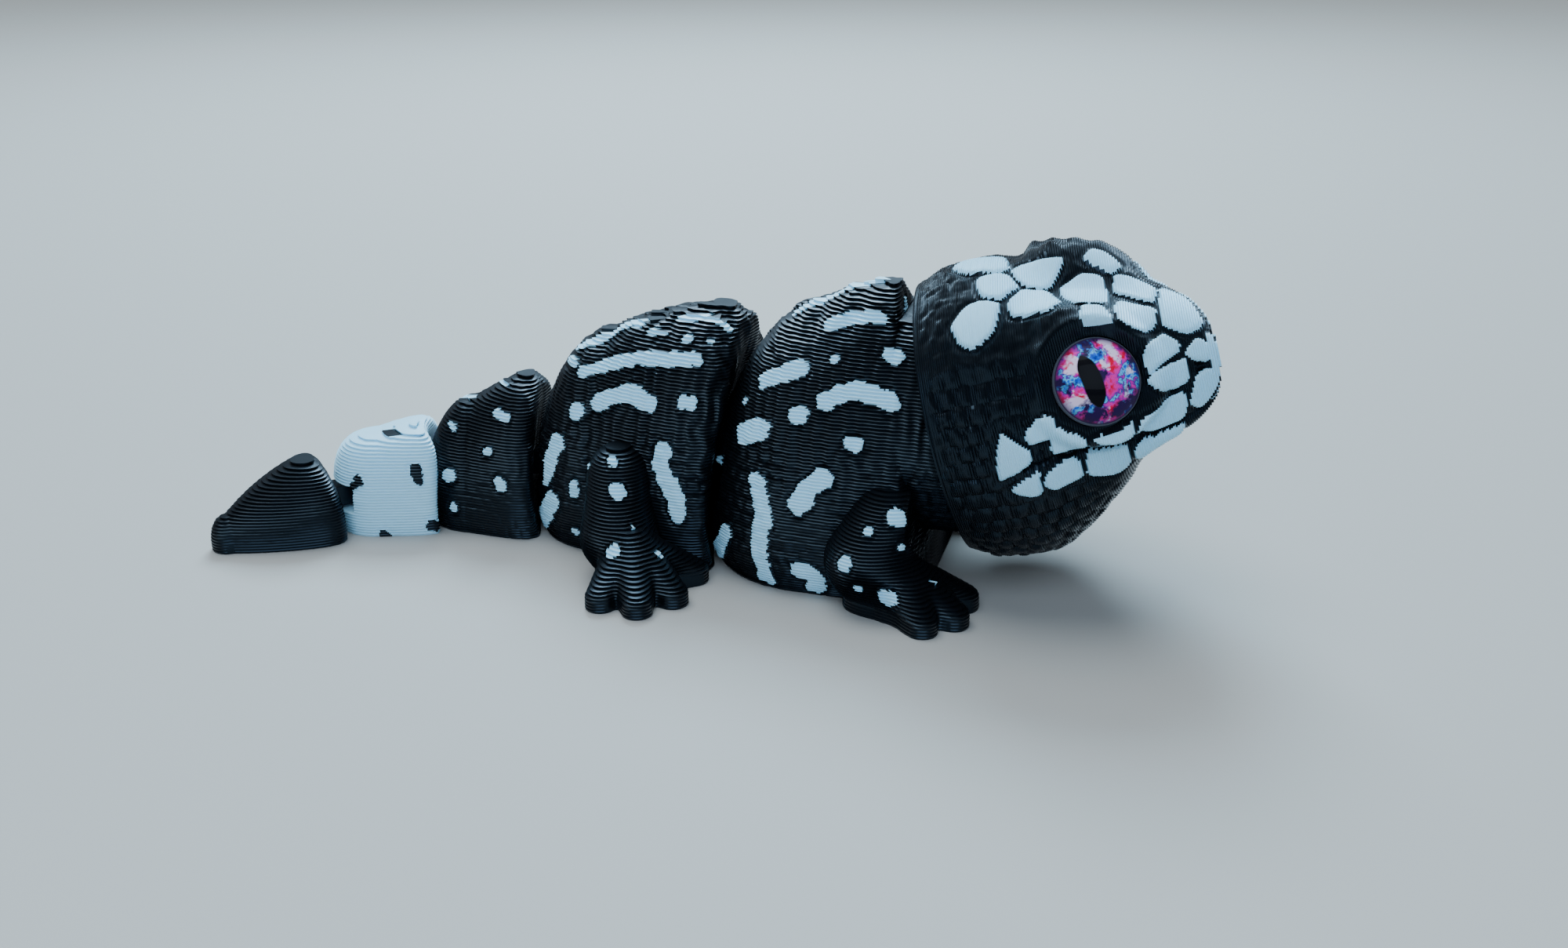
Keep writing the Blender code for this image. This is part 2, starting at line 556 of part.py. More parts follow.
def eye_frame(side):
    """The frame of an eye in the head's frame: z along the way that it looks. side is 1 right, -1 left."""
    middle, look = eye_place()
    middle, look = Vector(middle), Vector(look)
    middle.y *= side
    look.y *= side
    return Matrix.Translation(middle) @ look.to_track_quat("Z", "Y").to_matrix().to_4x4()


def plate_mesh(outline, side):
    """One raised plate: an outline on the head's skin, with its root sunk into the head."""
    s = np.array([p[0] for p in outline])
    aside = np.radians([p[1] for p in outline])
    radius = head_radius(s, aside)
    middle_s, middle_aside = s.mean(), aside.mean()
    middle_radius = float(head_radius(np.array([middle_s]), np.array([middle_aside]))[0])
    mesh = bmesh.new()
    rings, hubs = [], []
    for lift in (-PLATE_ROOT, PLATE_PROUD):
        ring = [head_point(a, side * t, r + lift) for a, t, r in zip(s, aside, radius)]
        rings.append([mesh.verts.new(p) for p in ring])
        hubs.append(mesh.verts.new(head_point(middle_s, side * middle_aside, middle_radius + lift)))
    for i in range(len(outline)):
        j = (i + 1) % len(outline)
        mesh.faces.new((rings[0][i], rings[0][j], rings[1][j], rings[1][i]))
        mesh.faces.new((rings[1][i], rings[1][j], hubs[1]))
        mesh.faces.new((rings[0][j], rings[0][i], hubs[0]))
    return mesh


def add_plates(head):
    """The raised head plates, on both sides where they are paired, joined to the head in one step."""
    plates = bpy.data.collections.new("Plates")
    bpy.context.scene.collection.children.link(plates)
    sides = dict(right=(1,), left=(-1,), both=(1, -1))
    for name, (where, outline) in PLATES.items():
        for side in sides[where]:
            piece = to_object(plate_mesh(outline, side), name, None, head.parent)
            TOOLS.objects.unlink(piece)
            plates.objects.link(piece)
    step = head.modifiers.new("Plates", "BOOLEAN")
    step.operand_type = "COLLECTION"
    step.collection = plates
    step.operation = "UNION"
    step.solver = "MANIFOLD"
    bpy.context.view_layer.update()
    made = bpy.data.meshes.new_from_object(head.evaluated_get(bpy.context.evaluated_depsgraph_get()))
    head.modifiers.clear()
    head.data = made
    for piece in list(plates.objects):
        bpy.data.objects.remove(piece)
    bpy.data.collections.remove(plates)


def make_head(material, parent):
    """The head: a loft of rings along its axis, hollowed for the body's round end, with the neck's stalk."""
    mesh = bmesh.new()
    sides = 48
    turns = [2 * math.pi * i / sides for i in range(sides)]
    stations = [0.0, 0.5, 1.4, 3.0, 5.0, 7.0, 9.0, 10.6, 12.0, 13.4, 15.0, 16.6, 18.2, 20.0, 21.4, 22.6, 23.7,
                24.4, 24.8, 25.05, 25.2]
    rings = []
    for s in stations:
        radii = head_radius(np.full(sides, s), np.array(turns))
        rings.append([mesh.verts.new(head_point(s, t, r)) for t, r in zip(turns, radii)])
    for rear, front in zip(rings, rings[1:]):
        for i in range(sides):
            j = (i + 1) % sides
            mesh.faces.new((rear[i], rear[j], front[j], front[i]))
    mesh.faces.new(rings[0][::-1])
    mesh.faces.new(rings[-1])
    bmesh.ops.triangulate(mesh, faces=mesh.faces)
    head = to_object(mesh, "head", material, parent)
    cup = to_object(ball(CUP, 28, 16), "cup", None)
    combine(cup, to_object(box_mesh((CUP_DEPTH, -20, -20), (20, 20, 20)), "floor", None), "DIFFERENCE")
    add_plates(head)
    combine(head, cup, "DIFFERENCE")
    upright = Matrix.Rotation(math.radians(-HEAD_ROLL), 4, "X")
    add_tongue(head, HINGES["head"], upright @ PITCH_AXIS, CUP_DEPTH + TONGUE_ROOT)
    for side in (1, -1):
        seat = cylinder(EYE_RADIUS + SEAM, -SEAT_DEPTH - SEAM, 6.0, 28)
        bmesh.ops.transform(seat, matrix=eye_frame(side), verts=seat.verts)
        combine(head, to_object(seat, "seat", None), "DIFFERENCE")
    return head


def paint(name, colour, roughness):
    material = bpy.data.materials.new(name)
    material.use_nodes = True
    shader = material.node_tree.nodes["Principled BSDF"]
    shader.inputs["Base Color"].default_value = (*colour, 1.0)
    shader.inputs["Roughness"].default_value = roughness
    return material


def empty(name, parent, place, yaw=0.0, pitch=0.0, roll=0.0):
    """An empty on a joint's axis. Pitch lifts the nose, and roll leans it to the right."""
    frame = bpy.data.objects.new(name, None)
    MODEL.objects.link(frame)
    frame.parent = parent
    turn = (Matrix.Rotation(math.radians(yaw), 4, "Z") @ Matrix.Rotation(math.radians(-pitch), 4, "Y")
            @ Matrix.Rotation(math.radians(roll), 4, "X"))
    frame.matrix_local = Matrix.Translation(Vector(place) * MM) @ turn
    return frame


for old in list(bpy.data.objects):
    bpy.data.objects.remove(old)
MODEL = bpy.data.collections.new("Jointed tegu")
TOOLS = bpy.data.collections.new("Cutters")
bpy.context.scene.collection.children.link(MODEL)
bpy.context.scene.collection.children.link(TOOLS)
TOOLS.hide_render = True

BLACK = paint("Black plastic", (0.012, 0.012, 0.014), 0.42)
WHITE = paint("White plastic", (0.80, 0.86, 0.88), 0.5)
GLASS = paint("Printed glass", (0.45, 0.20, 0.42), 0.05)

front_frame = empty("front_body_frame", None, (0, 0, 0))
rear_frame = empty("rear_body_frame", front_frame, (0, 0, 0), REST_YAW["rear_body"])
tail_base_frame = empty("tail_base_frame", rear_frame, (REAR_BODY["rear_x"], 0, 0), REST_YAW["tail_base"])
tail_middle_frame = empty("tail_middle_frame", tail_base_frame, (TAIL_BASE["rear_x"], 0, 0),
                          REST_YAW["tail_middle"])
tail_tip_frame = empty("tail_tip_frame", tail_middle_frame, (TAIL_MIDDLE["rear_x"], 0, 0),
                       REST_YAW["tail_tip"])
neck_frame = empty("neck_frame", front_frame, NECK, HEAD_YAW)
head_frame = empty("head_frame", neck_frame, (0, 0, 0), 0.0, HEAD_PITCH, HEAD_ROLL)

make_front_body(BLACK, front_frame)
rear_body = make_bead("rear_body", REAR_BODY, FRONT_BODY, BLACK, rear_frame, 44, 16)
cut_rear_slot(rear_body, REAR_BODY, HINGES["tail_base"])
tail_base = make_bead("tail_base", TAIL_BASE, REAR_BODY, BLACK, tail_base_frame, 36, 13)
cut_rear_slot(tail_base, TAIL_BASE, HINGES["tail_middle"])
tail_middle = make_bead("tail_middle", TAIL_MIDDLE, TAIL_BASE, WHITE, tail_middle_frame, 32, 12)
cut_rear_slot(tail_middle, TAIL_MIDDLE, HINGES["tail_tip"])
tail_tip = make_bead("tail_tip", TAIL_TIP, TAIL_MIDDLE, BLACK, tail_tip_frame, 32, 12)
for side in ("right", "left"):
    make_leg("front_leg_" + side, FRONT_LEG, FRONT_TOES, body_and_head_sweep, BLACK, front_frame, side == "left")
    make_leg("hind_leg_" + side, HIND_LEG, HIND_TOES, bead_behind(REAR_BODY, FRONT_BODY), BLACK, rear_frame,
             side == "left")
make_neck_ball(BLACK, neck_frame)
make_head(BLACK, head_frame)
make_eye("eye_right", GLASS, head_frame, 1)
make_eye("eye_left", GLASS, head_frame, -1)
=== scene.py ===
from collections import namedtuple
from math import asin, cos, hypot, pi, radians, sin

import bmesh
import bpy
import numpy as np
from mathutils import Matrix, Vector


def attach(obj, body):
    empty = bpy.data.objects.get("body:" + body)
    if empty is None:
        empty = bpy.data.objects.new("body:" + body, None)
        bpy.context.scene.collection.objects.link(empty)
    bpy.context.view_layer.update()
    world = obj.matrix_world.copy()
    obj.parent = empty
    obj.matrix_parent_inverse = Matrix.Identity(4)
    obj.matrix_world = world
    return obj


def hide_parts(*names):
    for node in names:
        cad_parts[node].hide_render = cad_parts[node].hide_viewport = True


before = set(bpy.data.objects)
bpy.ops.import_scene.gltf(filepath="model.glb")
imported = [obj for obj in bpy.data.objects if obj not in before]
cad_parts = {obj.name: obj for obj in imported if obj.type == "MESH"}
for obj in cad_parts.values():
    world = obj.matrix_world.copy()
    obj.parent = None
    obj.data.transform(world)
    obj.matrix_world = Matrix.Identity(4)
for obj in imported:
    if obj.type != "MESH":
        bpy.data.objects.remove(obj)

# The looks of a jointed toy tegu, printed layer by layer. Lengths are in millimetres until a mesh is made.
scene = bpy.context.scene
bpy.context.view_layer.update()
MM = 0.001

# Print layers: height, and depth of the groove between two. The head's are as fine as the photograph's. The
# others are coarser, because finer ones vanish in the render.
LAYER, RIB = 0.3, 0.08
HEAD_LAYER, HEAD_RIB = 0.2, 0.035
BELLY = 0.68  # where a layer stands out most, as a share of its height
UNEVEN = 0.02  # how far layers differ from each other
WAVER, HEAD_WAVER, WAVES_ROUND = 0.008, 0.012, 30  # how far and how quickly a layer's edge wanders

# The solid's own dimensions, as in the CAD source. Only the shoulders of the tail's base and tip and the
# lengths of the front toes differ, after the photograph.
GAP, SEAM = 0.4, 0.3  # the hinges' clearance, and the gap between parts that stay together
# Beads, from the front hinge of each. Crown is the power of the upper curve, and shoulder is how softly the
# side meets the hollow that takes the bead before it.
Bead = namedtuple("Bead", "rear_x front_x rear_half front_half rear_top front_top crown shoulder")
BEADS = dict(
    front_body=Bead(0.0, 7.0, 11.6, 11.9, 25.8, 28.0, 1.7, 0.0),
    rear_body=Bead(-21.6, -9.0, 8.8, 10.8, 21.0, 24.4, 1.9, 4.4),
    tail_base=Bead(-14.9, -4.0, 6.0, 7.2, 13.0, 16.8, 2.0, 3.4),
    tail_middle=Bead(-10.3, -4.0, 5.0, 5.5, 9.6, 10.6, 3.2, 2.0),
    tail_tip=Bead(-15.8, -4.0, 1.7, 4.9, 3.6, 8.9, 2.2, 3.6),
)
CHAIN = tuple(BEADS.items())
WIDEST_AT = 0.17  # height of a bead's widest line, over its top height
UNDERCUT, LOWER_POWER = 3.0, 2.6  # how far below the floor the lower curve ends, and its power
REST_YAW = dict(rear_body=-3.0, tail_base=9.0, tail_middle=19.5, tail_tip=18.5)
HEAD_YAW, HEAD_PITCH, HEAD_ROLL = 4.5, 16.0, 19.0
NECK = (13.0, 0.0, 15.5)  # the middle of the neck ball
NECK_ROUND, NECK_FRONT, BALL = 11.2, 3.0, 3.8
ROUND_TOP = 25.2  # above this the round end would stand apart from the bead's face
FACE, FACE_LEAN, FACE_BLEND = 9.4, 0.16, 0.8
MOUTH_REAR, MOUTH_FRONT = 2.4, 4.5  # radii of the opening that the head's stalk swings in
HEAD_SWEEP, HEAD_SWEEP_REAR = 14.8, 11.0  # the room that the head swings through
# Hinges. Ring is the radius of the eye at the tongue's end, half is the tongue's half width, and swing is in
# degrees.
Hinge = namedtuple("Hinge", "z thick ring pin half swing")
HINGES = dict(
    rear_body=Hinge(8.6, 3.0, 3.3, 1.5, 1.9, 30.0),
    tail_base=Hinge(6.6, 2.6, 3.0, 1.4, 1.7, 38.0),
    tail_middle=Hinge(4.6, 2.2, 2.5, 1.15, 1.4, 42.0),
    tail_tip=Hinge(3.8, 2.0, 2.2, 1.0, 1.2, 42.0),
    head=Hinge(0.0, 2.0, 2.2, 1.0, 1.1, 32.0),
)
PIN_ROOT, TONGUE_ROOT = 0.8, 1.8  # how far these run into what carries them
SLOT_PAST, NECK_SLOT_PAST = 3.0, 2.0  # how far a slot's cutter runs out of its piece
PIN_SIDES, RING_SIDES, BORE_SIDES = 24, 40, 28
PITCH_AXIS = Matrix.Rotation(pi / 2, 4, "X")

# The head. A place on it is s, the distance along its axis from the rim behind, and degrees from the top.
RIM_TO_NECK = 1.0
STATIONS = (0.0, 0.8, 3.0, 7.0, 11.0, 15.0, 19.0, 22.0, 23.8, 24.8, 25.2)
HALF_WIDTH = (12.2, 12.6, 13.2, 13.4, 12.6, 10.8, 8.2, 6.5, 4.8, 3.1, 0.5)
ABOVE = (12.2, 12.6, 13.3, 13.3, 12.0, 11.0, 9.2, 7.5, 5.8, 4.0, 1.9)
BELOW = (12.2, 12.8, 13.8, 14.2, 12.0, 8.2, 6.2, 4.8, 3.2, 1.8, 0.2)
HEAD_POWER = 2.2
BROW = (2.2, 14.8, 4.4, 28.0, 15.0)  # rise, s and length, degrees and width
VALLEY = (0.7, 14.0, 5.0, 16.0)  # depth, s and length, width
CUP, CUP_DEPTH = 11.6, 8.4
EYE_S, EYE_ASIDE, EYE_RADIUS, EYE_AHEAD, EYE_LIFT = 14.9, 52.0, 3.8, 20.0, 41.0
EYE_DOME, EYE_EDGE, SEAT_DEPTH, SEAT_CLEAR = 1.9, 0.9, 0.7, 0.12
COLLAR, COLLAR_BLEND, COLLAR_PROUD = 5.2, 1.8, 0.2

# Legs: bars of flesh with their ends and radii. Toes: the middle of the foot, the toes' headings and lengths.
FRONT_LEG = (
    ((8.6, -9.4, 8.2), (7.0, -11.2, 4.8), 3.9, 3.9),
    ((7.2, -11.4, 4.2), (10.8, -12.6, 2.4), 3.4, 2.6),
)
FRONT_TOES = (9.8, -11.4, (166.0, -93.0, -52.0, -18.0, 19.0), (1.8, 1.6, 5.1, 5.9, 6.2))
HIND_LEG = (
    ((-17.5, -9.6, 9.3), (-16.7, -12.2, 4.0), 3.1, 3.4),
    ((-16.4, -12.2, 4.0), (-14.4, -14.2, 2.2), 3.3, 2.8),
)
HIND_TOES = (-14.6, -14.0, (-100.0, -62.0, -24.0, 30.0), (5.2, 6.0, 5.6, 5.9))
ANKLE, ANKLE_RADIUS = 3.4, 2.5
TOE_TIP, TOE_RADIUS, TOE_LEVEL = 0.8, 1.5, 1.2
FLESH, TOE_BLEND = 1.6, 0.5
LEG_SINK = 0.8  # how far a leg runs into its body, so that no seam shows

# Head plates: the side they are on, and their corners as s and degrees from the top
PLATES = dict(
    nape_far=("left", (4.7, 24), (8.4, 26), (8.8, 12), (7.6, 8), (6.2, 11), (4.7, 17)),
    nape_near=("right", (6.2, -5), (8.8, -7), (9.5, 0), (8.1, 9.5), (6.6, 7.5), (6.1, 1)),
    nape_side=("both", (3.7, 20), (5.1, 11.5), (6.4, 10), (8.0, 13), (7.2, 26), (5.5, 31), (4.4, 29)),
    crown_far=("left", (9.1, 11), (10, 15.5), (13.8, 16), (12.9, 8.5), (12.2, 1.5), (10.6, 1), (9.8, 3)),
    crown_near=("right", (8.7, 13), (10, 1.5), (12, 1.5), (13.1, 16), (12.2, 21.5), (9, 19.5)),
    brow_far=("left", (15.5, 16.5), (16.1, 21), (18.2, 21), (18.2, 17), (17.4, 12.5)),
    brow_near=("right", (14.9, 21.4), (16.5, 21.2), (17.2, 29.6), (16.4, 30), (14.8, 29.2)),
    forehead=("right", (13, -1), (15, -9.5), (16.6, -9), (17, 12), (16.6, 18), (14.3, 18), (13.4, 10)),
    snout_far=("left", (17.5, -0.5), (17.8, 11), (19.5, 14), (21, 10), (20.5, -6)),
    snout_near=("right", (17.9, 12.5), (20.6, 12.5), (20.3, 26), (19.3, 32), (18.0, 30), (17.5, 23.5)),
    nose=("right", (21.4, -12), (23.6, -14), (24.3, 5), (23.9, 20), (22.8, 28), (21.2, 25), (21.1, 10)),
    lore_upper=("both", (18.5, 49.5), (20.9, 31), (22, 36), (21.9, 41.5), (19.2, 53)),
    lore_lower=("both", (18.9, 56.5), (20.6, 51), (22.3, 48), (22.2, 63), (20.9, 66), (19.7, 61)),
    nostril=("both", (22.5, 44), (23.8, 31), (24.4, 34), (24.3, 50), (23.6, 51.5), (22.9, 48)),
    lip_tip=("both", (22.1, 83), (23.1, 62), (24.2, 61), (24.9, 76), (24.7, 98), (23.2, 96)),
    lip_front=("both", (17.2, 80), (18, 72.5), (21.5, 71), (21.7, 82), (21.2, 91), (18.6, 88.5)),
    lip_eye=("both", (13.9, 73.5), (17.1, 72), (16.8, 79.5), (15.3, 77.5)),
    lip_rear=("both", (10.2, 61), (11.9, 68), (13.5, 72), (12.6, 76.5), (10, 76), (10.2, 68)),
    lip_hook=("both", (8.3, 67), (9.7, 61), (10.8, 61.5), (10.9, 69), (10.3, 69.5), (8.6, 70)),
    cheek=("both", (5.3, 81.5), (5.6, 71.5), (6.4, 64), (8.4, 73.5), (8, 78)),
    jaw_rear=("both", (6, 87.5), (8.6, 82), (8.3, 92), (6.9, 91)),
    jaw_middle=("both", (8.9, 88.5), (9.4, 84), (11.6, 80), (12.2, 86), (12.1, 90.5), (9.5, 92)),
    jaw_front=("both", (12.6, 91.5), (13, 81), (16.1, 87), (16, 99.5), (15, 100)),
    chin=("both", (16.6, 98), (17, 91), (21.2, 97), (20.6, 106), (17.6, 107)),
    rostral=("both", (24.5, 22), (25.4, 10), (25.4, 90), (24.5, 72)),
)
PLATE_BLEND, PLATE_GROWTH = 0.5, 0.17  # how round a plate's corners are, and how far it passes its outline
PLATE_RISE, PLATE_GROOVE = 0.26, 0.16
MOUTH = ((7.6, 80), (9.0, 79), (12.0, 79), (14.0, 79.5), (16.0, 83), (18.4, 91), (21.4, 95), (23.6, 96),
         (25.0, 92))
MOUTH_DEPTH, MOUTH_WIDE, MOUTH_BLACK = 0.45, 0.28, 0.24
NOSTRIL = (23.4, 55.0)
NOSTRIL_DEPTH, NOSTRIL_WIDE = 0.7, 0.45
LID_WHITE = 4.5  # no plate comes closer to the eye's middle
BROW_LUMPS = ((10.6, 0.9), (12.8, 0.9), (15.0, 0.9), (17.0, 0.8))  # s and width, on the far brow
HEAD_ROUND = 12.5  # a middling radius, for laying the scales out
FAR_AWAY = 9.0  # a distance for places that are near nothing

# White marks of the beads: a stroke's width, and the places (x, degrees from the top) that it runs through.
# They are repeated on the far side, a little shifted, except those on the back.
FRONT_MARKS = (
    (1.4, (-2.4, 4), (1, 2), (5, -1), (8, 1)), (1.5, (1.5, 15), (3.6, 13.5), (6.3, 14.5)),
    (1.0, (2.4, 26.4), (2.6, 26.4)), (1.7, (7.6, 25), (8.2, 25.5)), (2.0, (-4.2, 31), (-0.7, 28.5)),
    (1.0, (-6.3, 36.6), (-6.2, 37)), (1.9, (2.2, 41.5), (3.5, 38), (5.3, 37), (7.2, 38.5), (8.3, 41)),
    (1.8, (-0.5, 46.5), (-0.2, 46.5)), (2.6, (-5.8, 55.5), (-4.2, 53.5)), (1.7, (5.1, 58), (5.4, 58)),
    (2.0, (-8.8, 79), (-9.3, 88)), (2.1, (0.4, 89), (1.4, 80), (2.6, 75)),
    (2.0, (-3.9, 81), (-3.5, 90), (-3, 98), (-3.4, 106), (-3.5, 114), (-3, 122), (-2.8, 126)),
    (2.0, (-7.3, 116), (-8.3, 128), (-8.9, 138)), (2.1, (0.7, 118), (2.2, 121), (2, 126)),
)
REAR_MARKS = (
    (1.4, (-24.8, 9), (-23.5, 11), (-21.8, 8), (-19.5, 6.5), (-18, 8.5)),
    (1.1, (-13.6, 10), (-11, 9), (-8.7, 11.5)), (0.9, (-16.4, 14), (-14.8, 15.5)),
    (1.0, (-12.3, 18.6), (-11.9, 18.6)), (0.7, (-10.0, 18.2), (-9.8, 18.2)),
    (0.9, (-25.8, 13), (-24.4, 21)),
    (1.6, (-23.2, 26.5), (-21, 24.5), (-17, 24.5), (-13, 26), (-10.8, 26)),
    (2.0, (-20.8, 42.5), (-19, 40.5), (-17.2, 38.5), (-15.8, 42), (-14.9, 44)),
    (1.8, (-11.1, 42.4), (-10.8, 42.4)), (1.8, (-23.4, 47.6), (-23.1, 47.6)),
    (2.4, (-25.4, 68), (-26, 80), (-26.6, 92), (-27.2, 100)), (2.4, (-26, 114), (-27, 126), (-28, 138)),
    (1.05, (-22.95, 97), (-22.95, 102)),
    (2.1, (-13.0, 66), (-13.2, 74), (-12.2, 82), (-11.4, 90), (-11.2, 98)),
    (0.9, (-23.1, 124.6), (-23.0, 124.6)), (0.7, (-13.2, 121.4), (-13.1, 121.4)),
)
TAIL_BASE_MARKS = (
    (1.0, (-16.5, -8), (-15.6, 4)), (0.7, (-12.2, 0), (-11.2, 8)), (0.7, (-17, 26), (-16.4, 33)),
    (1.1, (-11.6, 27), (-10.5, 31)), (0.9, (-12.4, 54.6), (-12.2, 54.6)),
    (1.7, (-16.8, 79), (-16.6, 81)), (1.5, (-11.0, 80), (-10.8, 82)), (0.9, (-16.2, 111), (-16.2, 113)),
)
# The tail's middle bead is white, and its marks are black
TAIL_MIDDLE_MARKS = (
    (0.9, (-9.8, 0), (-9.2, 10), (-8.8, 20)), (1.0, (-12.4, 62), (-12.2, 67), (-13, 73)),
    (1.2, (-6.6, 57), (-6.4, 69)), (1.2, (-10.3, 128), (-9.8, 132), (-9, 133)),
    (1.4, (-5.4, 119), (-5.0, 122)),
)
# Marks of the legs: points on the skin and their radii
FRONT_LEG_MARKS = (((9.9, -12.7, 9.7), 0.85), ((7.5, -13.6, 8.5), 0.45), ((10.5, -13.1, 7.0), 0.35),
                   ((5.6, -14.9, 5.6), 0.8), ((13.6, -12.8, 4.0), 0.3), ((9.7, -15.2, 2.8), 0.9),
                   ((7.0, -15.1, 3.4), 0.4))
HIND_LEG_MARKS = (((-20.0, -10.8, 10.4), 0.35), ((-17.3, -11.7, 11.5), 0.5), ((-17.0, -11.7, 11.3), 0.45),
                  ((-16.1, -13.0, 9.1), 0.8), ((-15.4, -16.7, 4.6), 0.8), ((-14.0, -14.4, 6.3), 0.35),
                  ((-11.3, -14.7, 4.0), 0.35))
MARK_PROUD, MARK_GROOVE = 0.07, 0.10  # a mark's height, and the depth of the groove round it
MARK_EDGE, GROOVE_AT, GROOVE_WIDE = 0.1, -0.24, 0.14
MARK_HALF, MARK_REACH = 0.44, 0.7  # half width over width, and how far from a stroke its depth is worked out
RAGGED = 0.16  # how far a mark's edge shifts from layer to layer
ON_BACK = 12  # marks this close to the top, in degrees, aren't repeated
FAR_AHEAD, FAR_SHARE, FAR_MORE = 0.7, 0.97, 3  # how the far side's marks are shifted

# Forms of the beads' skin: bands in degrees from the top, and heights
CREST_FALL = (10, 40)
FLANK_RISE, FLANK_FALL = (15, 32), (76, 100)
LOW_RISE, LOW_FALL = (50, 66), (125, 140)
LUMP_HEIGHT, FLUTE_HEIGHT, SCALE_HEIGHT, GRAIN_HEIGHT = 0.13, 0.07, 0.16, 0.025
SCALE_PITCH, HEAD_SCALE_PITCH = 1.35, 1.6
FAR_NOISE = 40.0  # sets the far side's pattern apart from the near side's

# How skins are found: a solid's edge is looked for along rays, in steps and then in halves
REACH_STEPS, HALVINGS, LONGEST = 160, 12, 24.0
RELIEF_REACH, RELIEF_HALVINGS = 1.2, 10
GRID, FEWEST = 0.2, 3  # steps over a level to find its middle, and the fewest that make a level
DRIFT, WELL_INSIDE = 0.25, -0.2  # how quickly the middle may move from level to level, and its depth
LEAST_RADIUS, HEAD_LEAST_RADIUS = 0.02, 0.05
SHARP, EYE_SHARP = 35, 40  # edges over this many degrees aren't smoothed


# Distances outside the solids
def smooth_max(a, b, width):
    h = np.maximum(width - np.abs(a - b), 0.0) / width
    return np.maximum(a, b) + h * h * width / 4


def smooth_min(a, b, width):
    return -smooth_max(-a, -b, width)


def rounded_section(across, z, half, top, crown):
    middle = WIDEST_AT * top
    upper = np.maximum(z - middle, 0.0) / (top - middle)
    lower = np.maximum(middle - z, 0.0) / (middle + UNDERCUT)
    sideways = np.abs(across) / half
    high = (sideways ** crown + upper ** crown) ** (1 / crown)
    low = (sideways ** LOWER_POWER + lower ** LOWER_POWER) ** (1 / LOWER_POWER)
    return (np.where(z > middle, high, low) - 1.0) * np.minimum(half, top / 2)


def bead_side(bead, x, y, z):
    along = np.clip((x - bead.rear_x) / (bead.front_x - bead.rear_x), 0.0, 1.0)
    along = along * (2 - along)
    half = bead.rear_half + (bead.front_half - bead.rear_half) * along
    top = bead.rear_top + (bead.front_top - bead.rear_top) * along
    across = np.hypot(np.minimum(x - bead.rear_x, 0.0), y)
    return rounded_section(across, z, half, top, bead.crown)


def bead_behind(bead, before):
    def distance(x, y, z):
        dome = rounded_section(np.hypot(x, y), z, before.rear_half, before.rear_top, before.crown)
        return smooth_max(bead_side(bead, x, y, z), GAP - dome, bead.shoulder)

    return distance


def from_neck(x, y, z):
    return np.sqrt((x - NECK[0]) ** 2 + y ** 2 + (z - NECK[2]) ** 2)


def front_bead(x, y, z):
    """The front body, with a leaning face and a round end that reaches into the head."""
    round_end = np.maximum(from_neck(x, y, z) - NECK_ROUND, x - NECK[0] - NECK_FRONT)
    round_end = np.maximum(round_end, z - ROUND_TOP)
    face = x - FACE + FACE_LEAN * (z - NECK[2])
    return smooth_max(bead_side(BEADS["front_body"], x, y, z), np.minimum(round_end, face), FACE_BLEND)


def head_room(x, y, z):
    return np.maximum(from_neck(x, y, z) - HEAD_SWEEP, HEAD_SWEEP_REAR - x)


def capsule(x, y, z, start, end, start_radius, end_radius):
    start, end = np.array(start), np.array(end)
    line = end - start
    px, py, pz = x - start[0], y - start[1], z - start[2]
    along = np.clip((px * line[0] + py * line[1] + pz * line[2]) / (line @ line), 0.0, 1.0)
    away = np.sqrt((px - along * line[0]) ** 2 + (py - along * line[1]) ** 2 + (pz - along * line[2]) ** 2)
    return away - (start_radius + (end_radius - start_radius) * along)


def leg_distance(bars, toes, body, room):
    foot_x, foot_y, headings, lengths = toes

    def distance(x, y, z):
        limb, height = np.inf, np.maximum(z, TOE_LEVEL)
        for bar in bars:
            limb = smooth_min(limb, capsule(x, y, height, *bar), FLESH)
        for heading, length in zip(headings, lengths):
            turn = radians(heading)
            tip = (foot_x + length * cos(turn), foot_y + length * sin(turn), TOE_TIP)
            toe = capsule(x, y, height, (foot_x, foot_y, ANKLE), tip, ANKLE_RADIUS, TOE_RADIUS)
            limb = smooth_min(limb, toe, TOE_BLEND)
        limb = np.maximum(limb, -LEG_SINK - body(x, y, z))
        return np.maximum(limb, SEAM - room(x, y, z)) if room else limb

    return distance


# Small surface forms
def jitter(a, b=0.0, c=0.0):
    """A fixed number from 0 to 1 for each whole place, by the usual sine hash."""
    value = np.sin(np.asarray(a) * 127.1 + np.asarray(b) * 311.7 + np.asarray(c) * 74.7) * 43758.5453
    return value - np.floor(value)


def soft_noise(u, v, seed=0.0):
    """Smooth noise from -1 to 1 over a plane."""
    iu, iv = np.floor(u), np.floor(v)
    fu, fv = u - iu, v - iv
    fu, fv = fu * fu * (3 - 2 * fu), fv * fv * (3 - 2 * fv)
    a, b = jitter(iu, iv, seed), jitter(iu + 1, iv, seed)
    c, d = jitter(iu, iv + 1, seed), jitter(iu + 1, iv + 1, seed)
    return 2 * ((a + (b - a) * fu) * (1 - fv) + (c + (d - c) * fu) * fv) - 1


